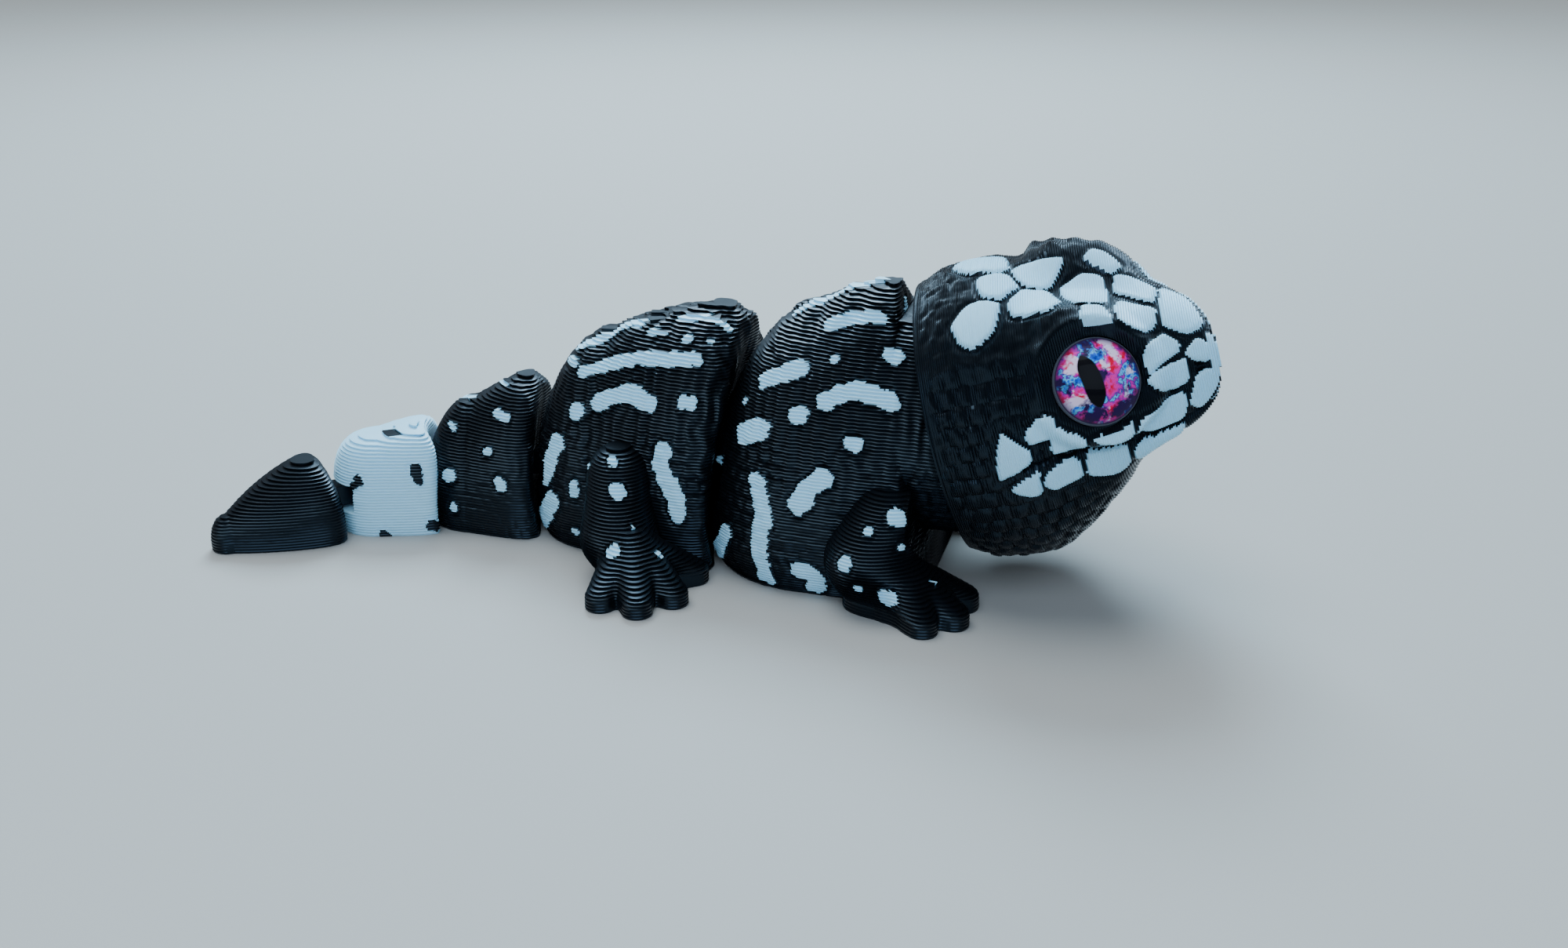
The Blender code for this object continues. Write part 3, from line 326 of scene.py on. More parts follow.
def scales(u, v, pitch, seed=0.0):
    """Soft square scales in staggered rows, each of its own height: 0 in the creases, about 1 on top."""
    wander, shift, squareness = 0.18, 0.15, 3.4
    u, v = u + wander * soft_noise(u, v, seed + 7), v + wander * soft_noise(u, v, seed + 8)
    row = np.floor(v / pitch)
    across = u / pitch + 0.5 * (row % 2) + shift * jitter(row, 1.0, seed)
    column = np.floor(across)
    a, b = 2 * (across - column) - 1, 2 * (v / pitch - row) - 1
    shape = (1 - np.abs(a) ** squareness) * (1 - np.abs(b) ** squareness)
    return shape * (0.5 + 0.5 * jitter(column, row, seed))


def ease(low, high, value):
    """A soft step from 0 at low to 1 at high."""
    t = np.clip((value - low) / (high - low), 0.0, 1.0)
    return t * t * (3 - 2 * t)


def band(value, rise, fall):
    """1 between two soft edges, and 0 outside them."""
    return ease(*rise, value) * (1 - ease(*fall, value))


def bell(value, middle, width):
    return np.exp(-((value - middle) / width) ** 2)


def body_relief(bead, centre_z, seed, depth):
    """The rough crest, fluted flanks and low scales of a bead, as added thickness."""
    def relief(x, y, z):
        behind = np.clip((bead.rear_x - x) / bead.rear_half, 0, 1)
        aside = np.degrees(np.arctan2(np.hypot(behind * bead.rear_half, y), z - centre_z))
        # u and v are places on the skin laid flat, in millimetres
        u = x - bead.rear_half * (np.arcsin(behind) - behind) + FAR_NOISE * (y > 0)
        v = aside * np.radians(bead.front_half)
        crest = 1 - ease(*CREST_FALL, aside)
        flank = band(aside, FLANK_RISE, FLANK_FALL)
        low = band(aside, LOW_RISE, LOW_FALL)
        lumps = soft_noise(u * 0.75, v * 0.9, seed) + 0.6 * soft_noise(u * 1.5, v * 1.7, seed + 1)
        flutes = np.sin(u * 4.7 + 2.0 * soft_noise(u * 0.5, v * 0.6, seed + 2))
        flutes = flutes * (0.65 + 0.5 * soft_noise(u * 0.45, v * 0.5, seed + 3))
        # scales come in patches, and all over the round end behind
        patches = np.maximum(ease(-0.1, 0.4, soft_noise(u * 0.24, v * 0.26, seed + 4)),
                             ease(0.3, 0.7, behind))
        rows = scales(u, v, SCALE_PITCH, seed) - 0.4
        grain = soft_noise(u * 1.7, v * 1.7, seed + 5)
        return depth * (LUMP_HEIGHT * crest * lumps + FLUTE_HEIGHT * flank * flutes
                        + SCALE_HEIGHT * low * patches * rows + GRAIN_HEIGHT * grain)

    return relief


# Printed skins
def edge_between(solid, middle, z, turns, low, high, halvings):
    """Where a solid ends on each ray from the middle of a level, between two reaches."""
    cos, sin = np.cos(turns), np.sin(turns)
    for _ in range(halvings):
        half = (low + high) / 2
        out = solid(middle[0] + half * cos, middle[1] + half * sin, np.full(len(turns), z)) > 0
        low, high = np.where(out, low, half), np.where(out, half, high)
    return low


def reach_of(distance, middle, z, turns, longest):
    """How far a solid reaches on each ray from the middle of a level."""
    reach = np.linspace(0.0, longest, REACH_STEPS)
    cos, sin = np.cos(turns)[:, None], np.sin(turns)[:, None]
    level = np.full((len(turns), REACH_STEPS), z)
    out = distance(middle[0] + reach * cos, middle[1] + reach * sin, level) > 0
    first = np.maximum(out.argmax(axis=1), 1)
    return edge_between(distance, middle, z, turns, reach[first - 1], reach[first], HALVINGS)


def middle_of(distance, box, z):
    """The middle of a level, or None where the solid has ended."""
    xs, ys = np.meshgrid(np.arange(box[0], box[1], GRID), np.arange(box[2], box[3], GRID))
    inside = distance(xs, ys, np.full(xs.shape, z)) < 0
    return np.array((xs[inside].mean(), ys[inside].mean())) if inside.sum() > FEWEST else None


def even_turns(distance, box, z, sides):
    """Turns that share out a level's outline in equal lengths."""
    turns = np.linspace(0.0, 2 * pi, 1441)
    reach = reach_of(distance, middle_of(distance, box, z), z, turns, LONGEST)
    outline = np.stack([reach * np.cos(turns), reach * np.sin(turns)], -1)
    length = np.concatenate([[0.0], np.cumsum(np.linalg.norm(np.diff(outline, axis=0), axis=1))])
    return np.interp(np.arange(sides) / sides * length[-1], length, turns)


def ring_mesh(sets, last=None):
    """A closed mesh of rings of points, taken from each set in turn, with a fan at each end.

    The last ring is repeated, moved by last."""
    rings = np.stack(sets, 1).reshape(-1, *sets[0].shape[1:])
    if last:
        rings = np.concatenate([rings, rings[-1:] + last])
    count, sides = rings.shape[0], rings.shape[1]
    points = np.concatenate([rings.reshape(-1, 3), [rings[0].mean(axis=0), rings[-1].mean(axis=0)]])
    i = np.arange(sides)
    j = (i + 1) % sides
    start = (np.arange(count - 1) * sides)[:, None]
    walls = np.stack([start + i, start + j, start + sides + j, start + sides + i], -1).reshape(-1, 4)
    end = count * sides
    low = np.stack([np.full(sides, end), j, i], -1)
    high = np.stack([np.full(sides, end + 1), end - sides + i, end - sides + j], -1)
    return points, walls.tolist() + low.tolist() + high.tolist()


def printed_stack(distance, box, sides, turn_level, relief, marks, seed):
    """A solid printed in level layers, as rings on each layer's belly and in the groove under it."""
    def rough(x, y, z):
        return distance(x, y, z) - relief(x, y, z)

    turns = even_turns(distance, box, turn_level, sides)
    cos, sin = np.cos(turns), np.sin(turns)
    longest = hypot(box[1] - box[0], box[3] - box[2])
    middles, reaches = [], []
    for k in range(400):
        z = (k + 0.5) * LAYER
        found = middle_of(distance, box, z)
        if found is None:
            break
        middle = (1 - DRIFT) * middles[-1] + DRIFT * found if middles else found
        if distance(middle[:1], middle[1:], np.array([z]))[0] > WELL_INSIDE:
            middle = found
        reach = reach_of(distance, middle, z, turns, longest)
        if relief:
            nearest = np.maximum(reach - RELIEF_REACH, LEAST_RADIUS)
            reach = edge_between(rough, middle, z, turns, nearest, reach + RELIEF_REACH, RELIEF_HALVINGS)
        middles.append(middle)
        reaches.append(reach)
    middles, reach = np.array(middles), np.array(reaches)
    level = np.arange(len(reach))[:, None]
    x, y = middles[:, :1] + reach * cos, middles[:, 1:] + reach * sin
    places = np.stack([x, y, np.broadcast_to((level + 0.5) * LAYER, reach.shape)], -1).reshape(-1, 3)
    depth = mark_depth(places, marks).reshape(reach.shape)
    reach = (reach + MARK_PROUD * ease(-MARK_EDGE, MARK_EDGE, depth)
             - MARK_GROOVE * bell(depth, GROOVE_AT, GROOVE_WIDE))
    reach = reach + UNEVEN * (jitter(level, seed) - 0.5)
    reach = reach + WAVER * soft_noise(turns * WAVES_ROUND, level, seed)
    below = reach[:-1] + (middles[:-1] - middles[1:]) @ np.stack([cos, sin])
    groove = np.concatenate([reach[:1], np.minimum(reach[1:], below)])
    rings = []
    for radii, lift in ((groove - RIB, 0.0), (reach, BELLY * LAYER)):
        radii = np.maximum(radii, LEAST_RADIUS)
        rings.append(np.stack([middles[:, :1] + radii * cos, middles[:, 1:] + radii * sin,
                               np.broadcast_to(level * LAYER + lift, radii.shape)], -1))
    return ring_mesh(rings, (0.0, 0.0, (1 - BELLY) * LAYER))


def object_of(data, name):
    made = bpy.data.objects.new(name, data)
    scene.collection.objects.link(made)
    return made


def piece_of(points, faces, name):
    """An object from points in millimetres."""
    data = bpy.data.meshes.new(name)
    data.from_pydata((np.asarray(points) * MM).tolist(), [], faces)
    data.update()
    return object_of(data, name)


def tool_of(mesh, place=None):
    """An object from a bmesh in millimetres, for cutting or joining."""
    if place is not None:
        bmesh.ops.transform(mesh, matrix=place, verts=mesh.verts)
    bmesh.ops.recalc_face_normals(mesh, faces=mesh.faces)
    bmesh.ops.scale(mesh, vec=(MM, MM, MM), verts=mesh.verts)
    data = bpy.data.meshes.new("tool")
    mesh.to_mesh(data)
    mesh.free()
    return object_of(data, "tool")


def combine(piece, tool, operation):
    step = piece.modifiers.new("Combine", "BOOLEAN")
    step.object, step.operation, step.solver = tool, operation, "MANIFOLD"
    bpy.context.view_layer.update()
    made = bpy.data.meshes.new_from_object(piece.evaluated_get(bpy.context.evaluated_depsgraph_get()))
    piece.modifiers.clear()
    old, piece.data = piece.data, made
    bpy.data.meshes.remove(old)
    bpy.data.objects.remove(tool)


def cylinder(radius, low, high, sides, top_radius=None):
    mesh = bmesh.new()
    bmesh.ops.create_cone(mesh, cap_ends=True, segments=sides, radius1=radius, radius2=top_radius or radius,
                          depth=high - low, matrix=Matrix.Translation((0, 0, (low + high) / 2)))
    return mesh


def ball(radius, columns, rows):
    mesh = bmesh.new()
    bmesh.ops.create_uvsphere(mesh, u_segments=columns, v_segments=rows, radius=radius)
    return mesh


def rectangle(rear, front, half):
    return ((rear, -half), (front, -half), (front, half), (rear, half))


def prism(outline, low, high):
    mesh = bmesh.new()
    face = mesh.faces.new([mesh.verts.new((x, y, low)) for x, y in outline])
    top = bmesh.ops.extrude_face_region(mesh, geom=[face])["geom"]
    raised = [v for v in top if isinstance(v, bmesh.types.BMVert)]
    bmesh.ops.translate(mesh, vec=(0, 0, high - low), verts=raised)
    return mesh


def cut_slot(piece, hinge, place, reach):
    """A slot for a tongue to swing in, open to the rear, with the hinge's pin standing in it."""
    clear, turn, side = hinge.ring + GAP, radians(hinge.swing), hinge.half + GAP
    far_x, far_y = -reach * cos(turn), reach * sin(turn) + side
    arc = [radians(a) for a in range(-110, 111, 10)]
    outline = [(clear * cos(a), clear * sin(a)) for a in arc]
    outline += [(far_x, far_y), (-reach, far_y), (-reach, -far_y), (far_x, -far_y)]
    half = hinge.thick / 2 + GAP
    combine(piece, tool_of(prism(outline, -half, half), place), "DIFFERENCE")
    pin = cylinder(hinge.pin, -half - PIN_ROOT, half + PIN_ROOT, PIN_SIDES)
    combine(piece, tool_of(pin, place), "UNION")


def add_tongue(piece, hinge, place, root):
    """A tongue with an eye at its end, which goes over the pin of the bead before it."""
    half = hinge.thick / 2
    tongue = tool_of(prism(rectangle(0.0, root, hinge.half), -half, half), place)
    combine(tongue, tool_of(cylinder(hinge.ring, -half, half, RING_SIDES), place), "UNION")
    bore = cylinder(hinge.pin + GAP, -half - 1, half + 1, BORE_SIDES)
    combine(tongue, tool_of(bore, place), "DIFFERENCE")
    combine(piece, tongue, "UNION")


# The head
def at_station(values, s):
    """The curve through values at the head's stations that makes no bumps between them."""
    stations, values = np.array(STATIONS), np.array(values)
    step, rise = np.diff(stations), np.diff(values)
    slope = rise / step
    tangent = np.zeros(len(values))
    before, after = slope[:-1], slope[1:]
    same = before * after > 0
    tangent[1:-1][same] = (2 * before * after / (before + after))[same]
    tangent[0], tangent[-1] = slope[0], slope[-1]
    i = np.clip(np.searchsorted(stations, s, side="right") - 1, 0, len(step) - 1)
    t = (s - stations[i]) / step[i]
    a, b = values[i], values[i + 1]
    m, n = tangent[i] * step[i], tangent[i + 1] * step[i]
    return ((2 * a - 2 * b + m + n) * t + (3 * b - 3 * a - 2 * m - n)) * t * t + m * t + a


def from_top(turn):
    """A turn in degrees from -180 to 180."""
    return np.degrees(np.arctan2(np.sin(turn), np.cos(turn)))


def head_skin(s, turn):
    wide = at_station(HALF_WIDTH, s)
    tall = np.where(np.cos(turn) > 0, at_station(ABOVE, s), at_station(BELOW, s))
    sideways, upright = np.abs(np.sin(turn)) / wide, np.abs(np.cos(turn)) / tall
    base = (sideways ** HEAD_POWER + upright ** HEAD_POWER) ** (-1 / HEAD_POWER)
    aside = np.abs(from_top(turn))
    rise, middle, along, ridge, across = BROW
    brow = rise * np.exp(-((s - middle) / along) ** 4 - ((aside - ridge) / across) ** 2)
    depth, middle, along, across = VALLEY
    return base + brow - depth * np.exp(-((s - middle) / along) ** 2 - (aside / across) ** 2)


def eye_place():
    """The right eye in the head's frame: its collar's middle, its look, and up and ahead in its plane."""
    turn = radians(EYE_ASIDE)
    out = float(head_skin(np.array([EYE_S]), np.array([turn]))[0]) + COLLAR_PROUD
    ahead, lift = radians(EYE_AHEAD), radians(EYE_LIFT)
    look = np.array((sin(ahead), -cos(ahead) * cos(lift), cos(ahead) * sin(lift)))
    up = np.array((0.0, 0.0, 1.0)) - look[2] * look
    up = up / np.linalg.norm(up)
    middle = (EYE_S - RIM_TO_NECK, -out * sin(turn), out * cos(turn))
    return np.array(middle), look, up, np.cross(up, look)


def eye_frame(side):
    """The frame of an eye: x ahead, y up in its plane, z along the way that it looks."""
    middle, look, up, ahead = eye_place()
    axes = np.array((ahead, up, look)).T
    axes[1] *= side
    axes[:, 0] *= side
    middle[1] *= side
    return Matrix.Translation(Vector(middle)) @ Matrix([list(row) for row in axes]).to_4x4()


def eye_coordinates(s, turn):
    """Where the head's rays meet the plane of the eye's collar: the reach, and place in that plane."""
    least_facing = 0.2
    middle, look, up, _ = eye_place()
    turn = np.abs(np.arctan2(np.sin(turn), np.cos(turn)))
    ray_y, ray_z = -np.sin(turn), np.cos(turn)
    facing = np.maximum(ray_y * look[1] + ray_z * look[2], least_facing)
    axis_x = s - RIM_TO_NECK
    reach = ((middle[0] - axis_x) * look[0] + middle[1] * look[1] + middle[2] * look[2]) / facing
    dx, dy, dz = axis_x - middle[0], reach * ray_y - middle[1], reach * ray_z - middle[2]
    return reach, np.sqrt(dx ** 2 + dy ** 2 + dz ** 2), dx * up[0] + dy * up[1] + dz * up[2]


def plate_depth(s, aside, radius):
    """How far inside the nearest plate a place is, in millimetres, and below 0 outside every plate."""
    margin = 1.5
    best = np.full(np.shape(s), -FAR_AWAY)
    for where, *outline in PLATES.values():
        for side in dict(right=(1,), left=(-1,), both=(1, -1))[where]:
            corners = np.array(outline, float)
            corners[:, 1] = side * corners[:, 1]
            near = (s > corners[:, 0].min() - margin) & (s < corners[:, 0].max() + margin)
            if not near.any():
                continue
            scale = np.radians(radius[near])
            u, v = s[near], aside[near] * scale
            middle_u, middle_v = corners[:, 0].mean(), corners[:, 1].mean()
            inside = np.inf
            for a, b in zip(corners, np.roll(corners, -1, axis=0)):
                ax, ay, bx, by = a[0], a[1] * scale, b[0], b[1] * scale
                nx, ny = by - ay, -(bx - ax)
                long = np.hypot(nx, ny)
                toward = np.sign((middle_u - ax) * nx + (middle_v * scale - ay) * ny)
                depth = toward * ((u - ax) * nx + (v - ay) * ny) / long
                inside = smooth_min(inside, depth, PLATE_BLEND)
            best[near] = np.maximum(best[near], inside + PLATE_GROWTH)
    return best


def mouth_away(s, off, radius):
    """Distance from the line of the mouth."""
    best = np.full(np.shape(s), FAR_AWAY)
    scale = np.radians(radius)
    for (s0, a0), (s1, a1) in zip(MOUTH, MOUTH[1:]):
        du, dv = s1 - s0, (a1 - a0) * scale
        t = np.clip(((s - s0) * du + (off - a0) * scale * dv) / (du * du + dv * dv), 0, 1)
        best = np.minimum(best, np.hypot(s - s0 - t * du, (off - a0) * scale - t * dv))
    return best


def head_relief(s, turn):
    """Small forms of the head's skin as added radius, and where its skin is white."""
    aside = from_top(turn)
    off = np.abs(aside)
    radius = head_skin(s, turn)
    v = aside * np.radians(HEAD_ROUND)
    depth = plate_depth(s, aside + 0.22 * soft_noise(s * 5, aside, 3.0), radius)
    relief = PLATE_RISE * ease(-0.12, 0.24, depth) - PLATE_GROOVE * bell(depth, -0.25, 0.2)
    _, away, up = eye_coordinates(s, turn)
    # scales keep clear of plates, rim and eye: on the cheeks and nape, under the throat, and grain on top
    clear = ease(0.25, 0.8, -depth) * ease(0.2, 1.2, s) * ease(5.4, 6.6, away)
    strength = 0.40 * ease(36, 44, off) * (1 - ease(11.0, 16.0, s + 0.03 * (90 - off)))
    strength += 0.16 * (1 - ease(30, 42, off)) * (1 - ease(3.0, 9.0, s))
    strength = np.maximum(strength, 0.26 * ease(112, 135, off) * (1 - ease(18, 22, s)))
    relief += strength * clear * (scales(s, v, HEAD_SCALE_PITCH, 5.0) - 0.45)
    relief += 0.09 * clear * soft_noise(s * 1.6, v * 1.6, 9.0) * (1 - ease(36, 46, off))
    # the ridge behind the eye and the hollow under it
    ridge = band(s, (0.5, 2.0), (9.5, 12.0))
    wander = off + 1.6 * soft_noise(s * 0.7, np.zeros(np.shape(s)), 4.0)
    relief += ridge * (0.2 * bell(wander, 38.5, 2.6) - 0.3 * bell(wander, 47.0, 5.5))
    # the lid over the eye
    relief += bell(away, 5.0, 0.8) * (0.1 + 1.1 * ease(-0.5, 2.8, up))
    # lumps on the far brow, which is lower than the near one
    lumps = sum(bell(s, middle, width) for middle, width in BROW_LUMPS)
    relief += (aside < 0) * bell(off, 32, 9) * (
        0.4 * lumps - 0.6 * bell(s, 11.0, 4.0) - 0.2 * bell(s, 16.5, 2.5))
    # the rolled rim behind, and the skin drawn in under the lower lip
    relief += 0.14 * bell(s, 0.2, 0.35)
    relief -= 1.15 * ease(98, 116, off - 1.2 * (s - 18)) * ease(14.5, 17.5, s)
    mouth = mouth_away(s, off, radius)
    relief -= MOUTH_DEPTH * bell(mouth, 0.0, MOUTH_WIDE)
    nostril = np.hypot(s - NOSTRIL[0], (off - NOSTRIL[1]) * np.radians(radius))
    relief -= NOSTRIL_DEPTH * bell(nostril, 0.0, NOSTRIL_WIDE)
    white = (depth > 0) & (mouth > MOUTH_BLACK) & (nostril > NOSTRIL_WIDE) & (away > LID_WHITE)
    return relief, white


def head_radius(s, turn):
    """The head's smooth skin, flattened to the eye's collar round each eye."""
    skin = head_skin(s, turn)
    reach, away, _ = eye_coordinates(s, turn)
    return skin + (reach - skin) * ease(0.0, COLLAR_BLEND, COLLAR + COLLAR_BLEND - away)


def printed_head(sides):
    """The head, printed nose up: layers across its axis."""
    seed, slowness = 4.0, 0.6
    turns = np.arange(sides) * 2 * pi / sides
    level = np.arange(round(STATIONS[-1] / HEAD_LAYER))
    radii = []
    for k in level:
        s = np.full(sides, (k + 0.5) * HEAD_LAYER)
        radii.append(head_radius(s, turns) + head_relief(s, turns)[0])
    radii = np.array(radii) + UNEVEN * (jitter(level[:, None], seed) - 0.5)
    radii = radii + HEAD_WAVER * soft_noise(turns * WAVES_ROUND, level[:, None] * slowness, seed)
    groove = np.concatenate([radii[:1], np.minimum(radii[1:], radii[:-1])]) - HEAD_RIB
    rings = []
    for radius, lift in ((groove, 0.0), (radii, BELLY * HEAD_LAYER)):
        radius = np.maximum(radius, HEAD_LEAST_RADIUS)
        x = np.broadcast_to(level[:, None] * HEAD_LAYER + lift - RIM_TO_NECK, radius.shape)
        rings.append(np.stack([x, -radius * np.sin(turns), radius * np.cos(turns)], -1))
    return ring_mesh(rings, ((1 - BELLY) * HEAD_LAYER, 0.0, 0.0))


# Marks
def skin_point(distance, centre_z, x, degrees):
    """The outermost point of a bead at an x and a turn from the top about its middle line."""
    a = radians(degrees)
    reach = np.arange(0.5, LONGEST + 2, 0.05)
    inside = distance(np.full(reach.shape, x), -reach * sin(a), centre_z + reach * cos(a)) < 0
    r = reach[inside].max() if inside.any() else 5.0
    return np.array((x, -r * sin(a), centre_z + r * cos(a)))


def stroke_segments(marks, distance, centre_z):
    """The marks of both sides as segments in the bead's frame: start, end, half width, number."""
    segments = []
    for number, (width, *line) in enumerate(marks):
        for side, ahead in ((1, 0.0), (-1, FAR_AHEAD)):
            if side < 0 and min(a for _, a in line) < ON_BACK:
                continue
            points = []
            for x, a in line:
                turn = a if side > 0 else -(a * FAR_SHARE + FAR_MORE)
                points.append(skin_point(distance, centre_z, x + ahead, turn))
            segments += [(p, q, MARK_HALF * width, side * number) for p, q in zip(points, points[1:])]
    return segments


def mark_depth(places, segments):
    """How far inside the nearest mark each place is. The edges shift a little from layer to layer."""
    depth = np.full(len(places), -1.0)
    for p, q, half, number in segments:
        low, high = np.minimum(p, q) - half - MARK_REACH, np.maximum(p, q) + half + MARK_REACH
        near = np.nonzero(((places > low) & (places < high)).all(axis=1))[0]
        if not len(near):
            continue
        c, line = places[near], q - p
        t = np.clip((c - p) @ line / max(line @ line, 1e-9), 0, 1)
        away = np.linalg.norm(c - p - t[:, None] * line, axis=1)
        edge = half + RAGGED * (jitter(np.floor(c[:, 2] / LAYER), number) - 0.5)
        wave = soft_noise((c[:, 0] + c[:, 1]) * 1.5 + number, c[:, 2] * 1.5, 2.0)
        edge = edge + min(0.2, 0.25 * half) * wave
        depth[near] = np.maximum(depth[near], edge - away)
    return depth


def face_middles(piece):
    flat = np.empty(len(piece.data.polygons) * 3, np.float32)
    piece.data.polygons.foreach_get("center", flat)
    return flat.reshape(-1, 3).astype(float) / MM


def smooth(piece, degrees):
    piece.data.shade_smooth()
    piece.data.set_sharp_from_angle(angle=radians(degrees))


def colour(piece, materials, index):
    """Gives each face the material of its number."""
    piece.data.materials.clear()
    for material in materials:
        piece.data.materials.append(material)
    piece.data.polygons.foreach_set("material_index", index.astype(np.int32))
    smooth(piece, SHARP)
    piece.data.update()


# Materials
def material(name):
    made = bpy.data.materials.new(name)
    made.use_nodes = True
    return made, made.node_tree, made.node_tree.nodes["Principled BSDF"]


def set_inputs(node, values):
    """Gives each input of a node its value, or links it to another node's output."""
    for name, value in values.items():
        if isinstance(value, bpy.types.NodeSocket):
            node.id_data.links.new(value, node.inputs[name])
        else:
            node.inputs[name].default_value = value


def add(tree, kind, values=()):
    node = tree.nodes.new("ShaderNode" + kind)
    set_inputs(node, dict(values))
    return node


def printed_plastic(name, roughness, values):
    """Printed plastic: faint mottling of its gloss, as where layers cool unevenly."""
    made, tree, shader = material(name)
    where = add(tree, "TexCoord").outputs["Object"]
    noise = add(tree, "TexNoise", {"Vector": where, "Scale": 420.0, "Detail": 3.0}).outputs["Fac"]
    spread = {"Value": noise, "To Min": roughness - MOTTLE, "To Max": roughness + MOTTLE}
    set_inputs(shader, {**values, "Roughness": add(tree, "MapRange", spread).outputs["Result"]})
    return made


def ramp(tree, value, stops):
    """A colour ramp over a value. A stop's colour is three numbers, or one for a grey."""
    node = add(tree, "ValToRGB", {"Fac": value})
    while len(node.color_ramp.elements) < len(stops):
        node.color_ramp.elements.new(0.5)
    for element, (at, tint) in zip(node.color_ramp.elements, stops):
        element.position = at
        element.color = (*(tint if isinstance(tint, tuple) else (tint, tint, tint)), 1)
    return node.outputs["Color"]


def maths(tree, operation, *values):
    node = add(tree, "Math", enumerate(values))
    node.operation = operation
    return node.outputs[0]


def cover(tree, below, share, tint):
    """Lays a colour over another, as much as a share from 0 to 1 says."""
    node = add(tree, "Mix")
    node.data_type = "RGBA"
    factor, lower, upper, result = 0, 6, 7, 2
    set_inputs(node, {factor: share, lower: below, upper: (*tint, 1)})
    return node.outputs[result]


# The iris. Its places are u ahead and v up, as shares of the eye's radius.
HUES = ((0.34, (0.01, 0.02, 0.25)), (0.41, (0.01, 0.14, 0.80)), (0.45, (0.12, 0.60, 1.0)),
        (0.475, (0.05, 0.02, 0.30)), (0.50, (0.45, 0.02, 0.42)), (0.54, (0.85, 0.03, 0.40)),
        (0.60, (0.80, 0.0, 0.05)), (0.70, (0.45, 0.0, 0.02)))
HUE_LEAN, HUE_SLANT = -0.05, -0.4  # redder to the rear of the eye, bluer to its front
# Clouds: size, seed, distortion, the ramp's stops and the colour that it lays over the hues
CLOUDS = (
    (1.9, 9.7, 0.25, ((0.545, 0), (0.60, 0.9)), (0.86, 0.72, 0.95)),
    (2.0, 5.3, 0.15, ((0.40, 1), (0.49, 0)), (0.02, 0.006, 0.06)),
)
# The slit: a blunt leaf, a little behind the eye's middle, with its half length and half width
PUPIL_V, PUPIL_LEAN, PUPIL_BACK = 0.06, -0.10, 0.22
PUPIL_LONG, PUPIL_WIDE, PUPIL_POWER, PUPIL_EDGE = 0.62, 0.222, 4.0, 30.0
# The iris darkens towards its edge, and a pale ring at the dome's edge is a painted glint
EDGE_DARKENING_AND_GLINT = (
    (((0.80, 0), (0.93, 0.7), (0.955, 1)), (0.03, 0.015, 0.05)),
    (((0.962, 0), (0.975, 1)), (0.09, 0.10, 0.13)),
)


def eye_material():
    """A printed iris of coloured clouds with a slit pupil, under a clear dome."""
    made, tree, shader = material("Eye")
    layout = add(tree, "UVMap")
    layout.uv_map = "Eye"
    where = layout.outputs["UV"]
    split = add(tree, "SeparateXYZ", {0: where})
    u, v = split.outputs["X"], split.outputs["Y"]

    def times(a, b):
        return maths(tree, "MULTIPLY", a, b)

    def plus(a, b):
        return maths(tree, "ADD", a, b)

    def clouds(scale, seed, distortion):
        shift = add(tree, "Mapping", {"Vector": where, "Location": (seed, seed * 0.37, 0)})
        noise = {"Vector": shift.outputs["Vector"], "Scale": scale, "Distortion": distortion}
        return add(tree, "TexNoise", {**noise, "Detail": 4.0, "Roughness": 0.62}).outputs["Fac"]

    lean = times(plus(u, times(v, HUE_SLANT)), HUE_LEAN)
    iris = ramp(tree, plus(clouds(1.7, 3.1, 0.15), lean), HUES)
    for scale, seed, distortion, stops, tint in CLOUDS:
        iris = cover(tree, iris, ramp(tree, clouds(scale, seed, distortion), stops), tint)
    level = maths(tree, "SUBTRACT", v, PUPIL_V)
    across = maths(tree, "ABSOLUTE", plus(u, plus(times(level, PUPIL_LEAN), PUPIL_BACK)))
    along = maths(tree, "ABSOLUTE", maths(tree, "DIVIDE", level, PUPIL_LONG))
    bow = times(maths(tree, "SUBTRACT", 1.0, maths(tree, "POWER", along, PUPIL_POWER)), PUPIL_WIDE)
    inside = times(maths(tree, "SUBTRACT", bow, across), PUPIL_EDGE)
    pupil = add(tree, "Clamp", {"Value": plus(inside, 0.5)}).outputs[0]
    iris = cover(tree, iris, pupil, (0.002, 0.002, 0.004))
    out = maths(tree, "SQRT", plus(times(u, u), times(v, v)))
    # darkens the iris towards its edge, then paints a pale glint ring round the dome's edge
    for stops, tint in EDGE_DARKENING_AND_GLINT:
        iris = cover(tree, iris, ramp(tree, out, stops), tint)
    set_inputs(shader, {"Base Color": iris, "Roughness": 0.4, "Specular IOR Level": 0.04,
                        "Coat Weight": 0.1, "Coat Roughness": 0.08, "Coat IOR": 1.45})
    return made


MOTTLE = 0.05
BLACK = printed_plastic("Black plastic", 0.31, {
    "Base Color": (0.002, 0.0024, 0.0034, 1), "Specular IOR Level": 0.38,
    "Specular Tint": (0.45, 0.72, 1, 1)})
WHITE = printed_plastic("White plastic", 0.42, {
    "Base Color": (0.42, 0.77, 0.97, 1), "Specular IOR Level": 0.5, "Specular Tint": (1, 1, 1, 1),
    "Subsurface Weight": 0.15, "Subsurface Radius": (0.0006, 0.0008, 0.001), "Subsurface Scale": 1.0})
EYE = eye_material()


# Frames of the bodies at rest, in millimetres
def turned(degrees, axis):
    return Matrix.Rotation(radians(degrees), 4, axis)


FRAMES = {"front_body": Matrix.Identity(4)}
for (ahead, bead), (name, _) in zip(CHAIN, CHAIN[1:]):
    FRAMES[name] = FRAMES[ahead] @ Matrix.Translation((bead.rear_x, 0, 0)) @ turned(REST_YAW[name], "Z")
FRAMES["neck"] = Matrix.Translation(NECK) @ turned(HEAD_YAW, "Z")
FRAMES["head"] = FRAMES["neck"] @ turned(-HEAD_PITCH, "Y") @ turned(HEAD_ROLL, "X")


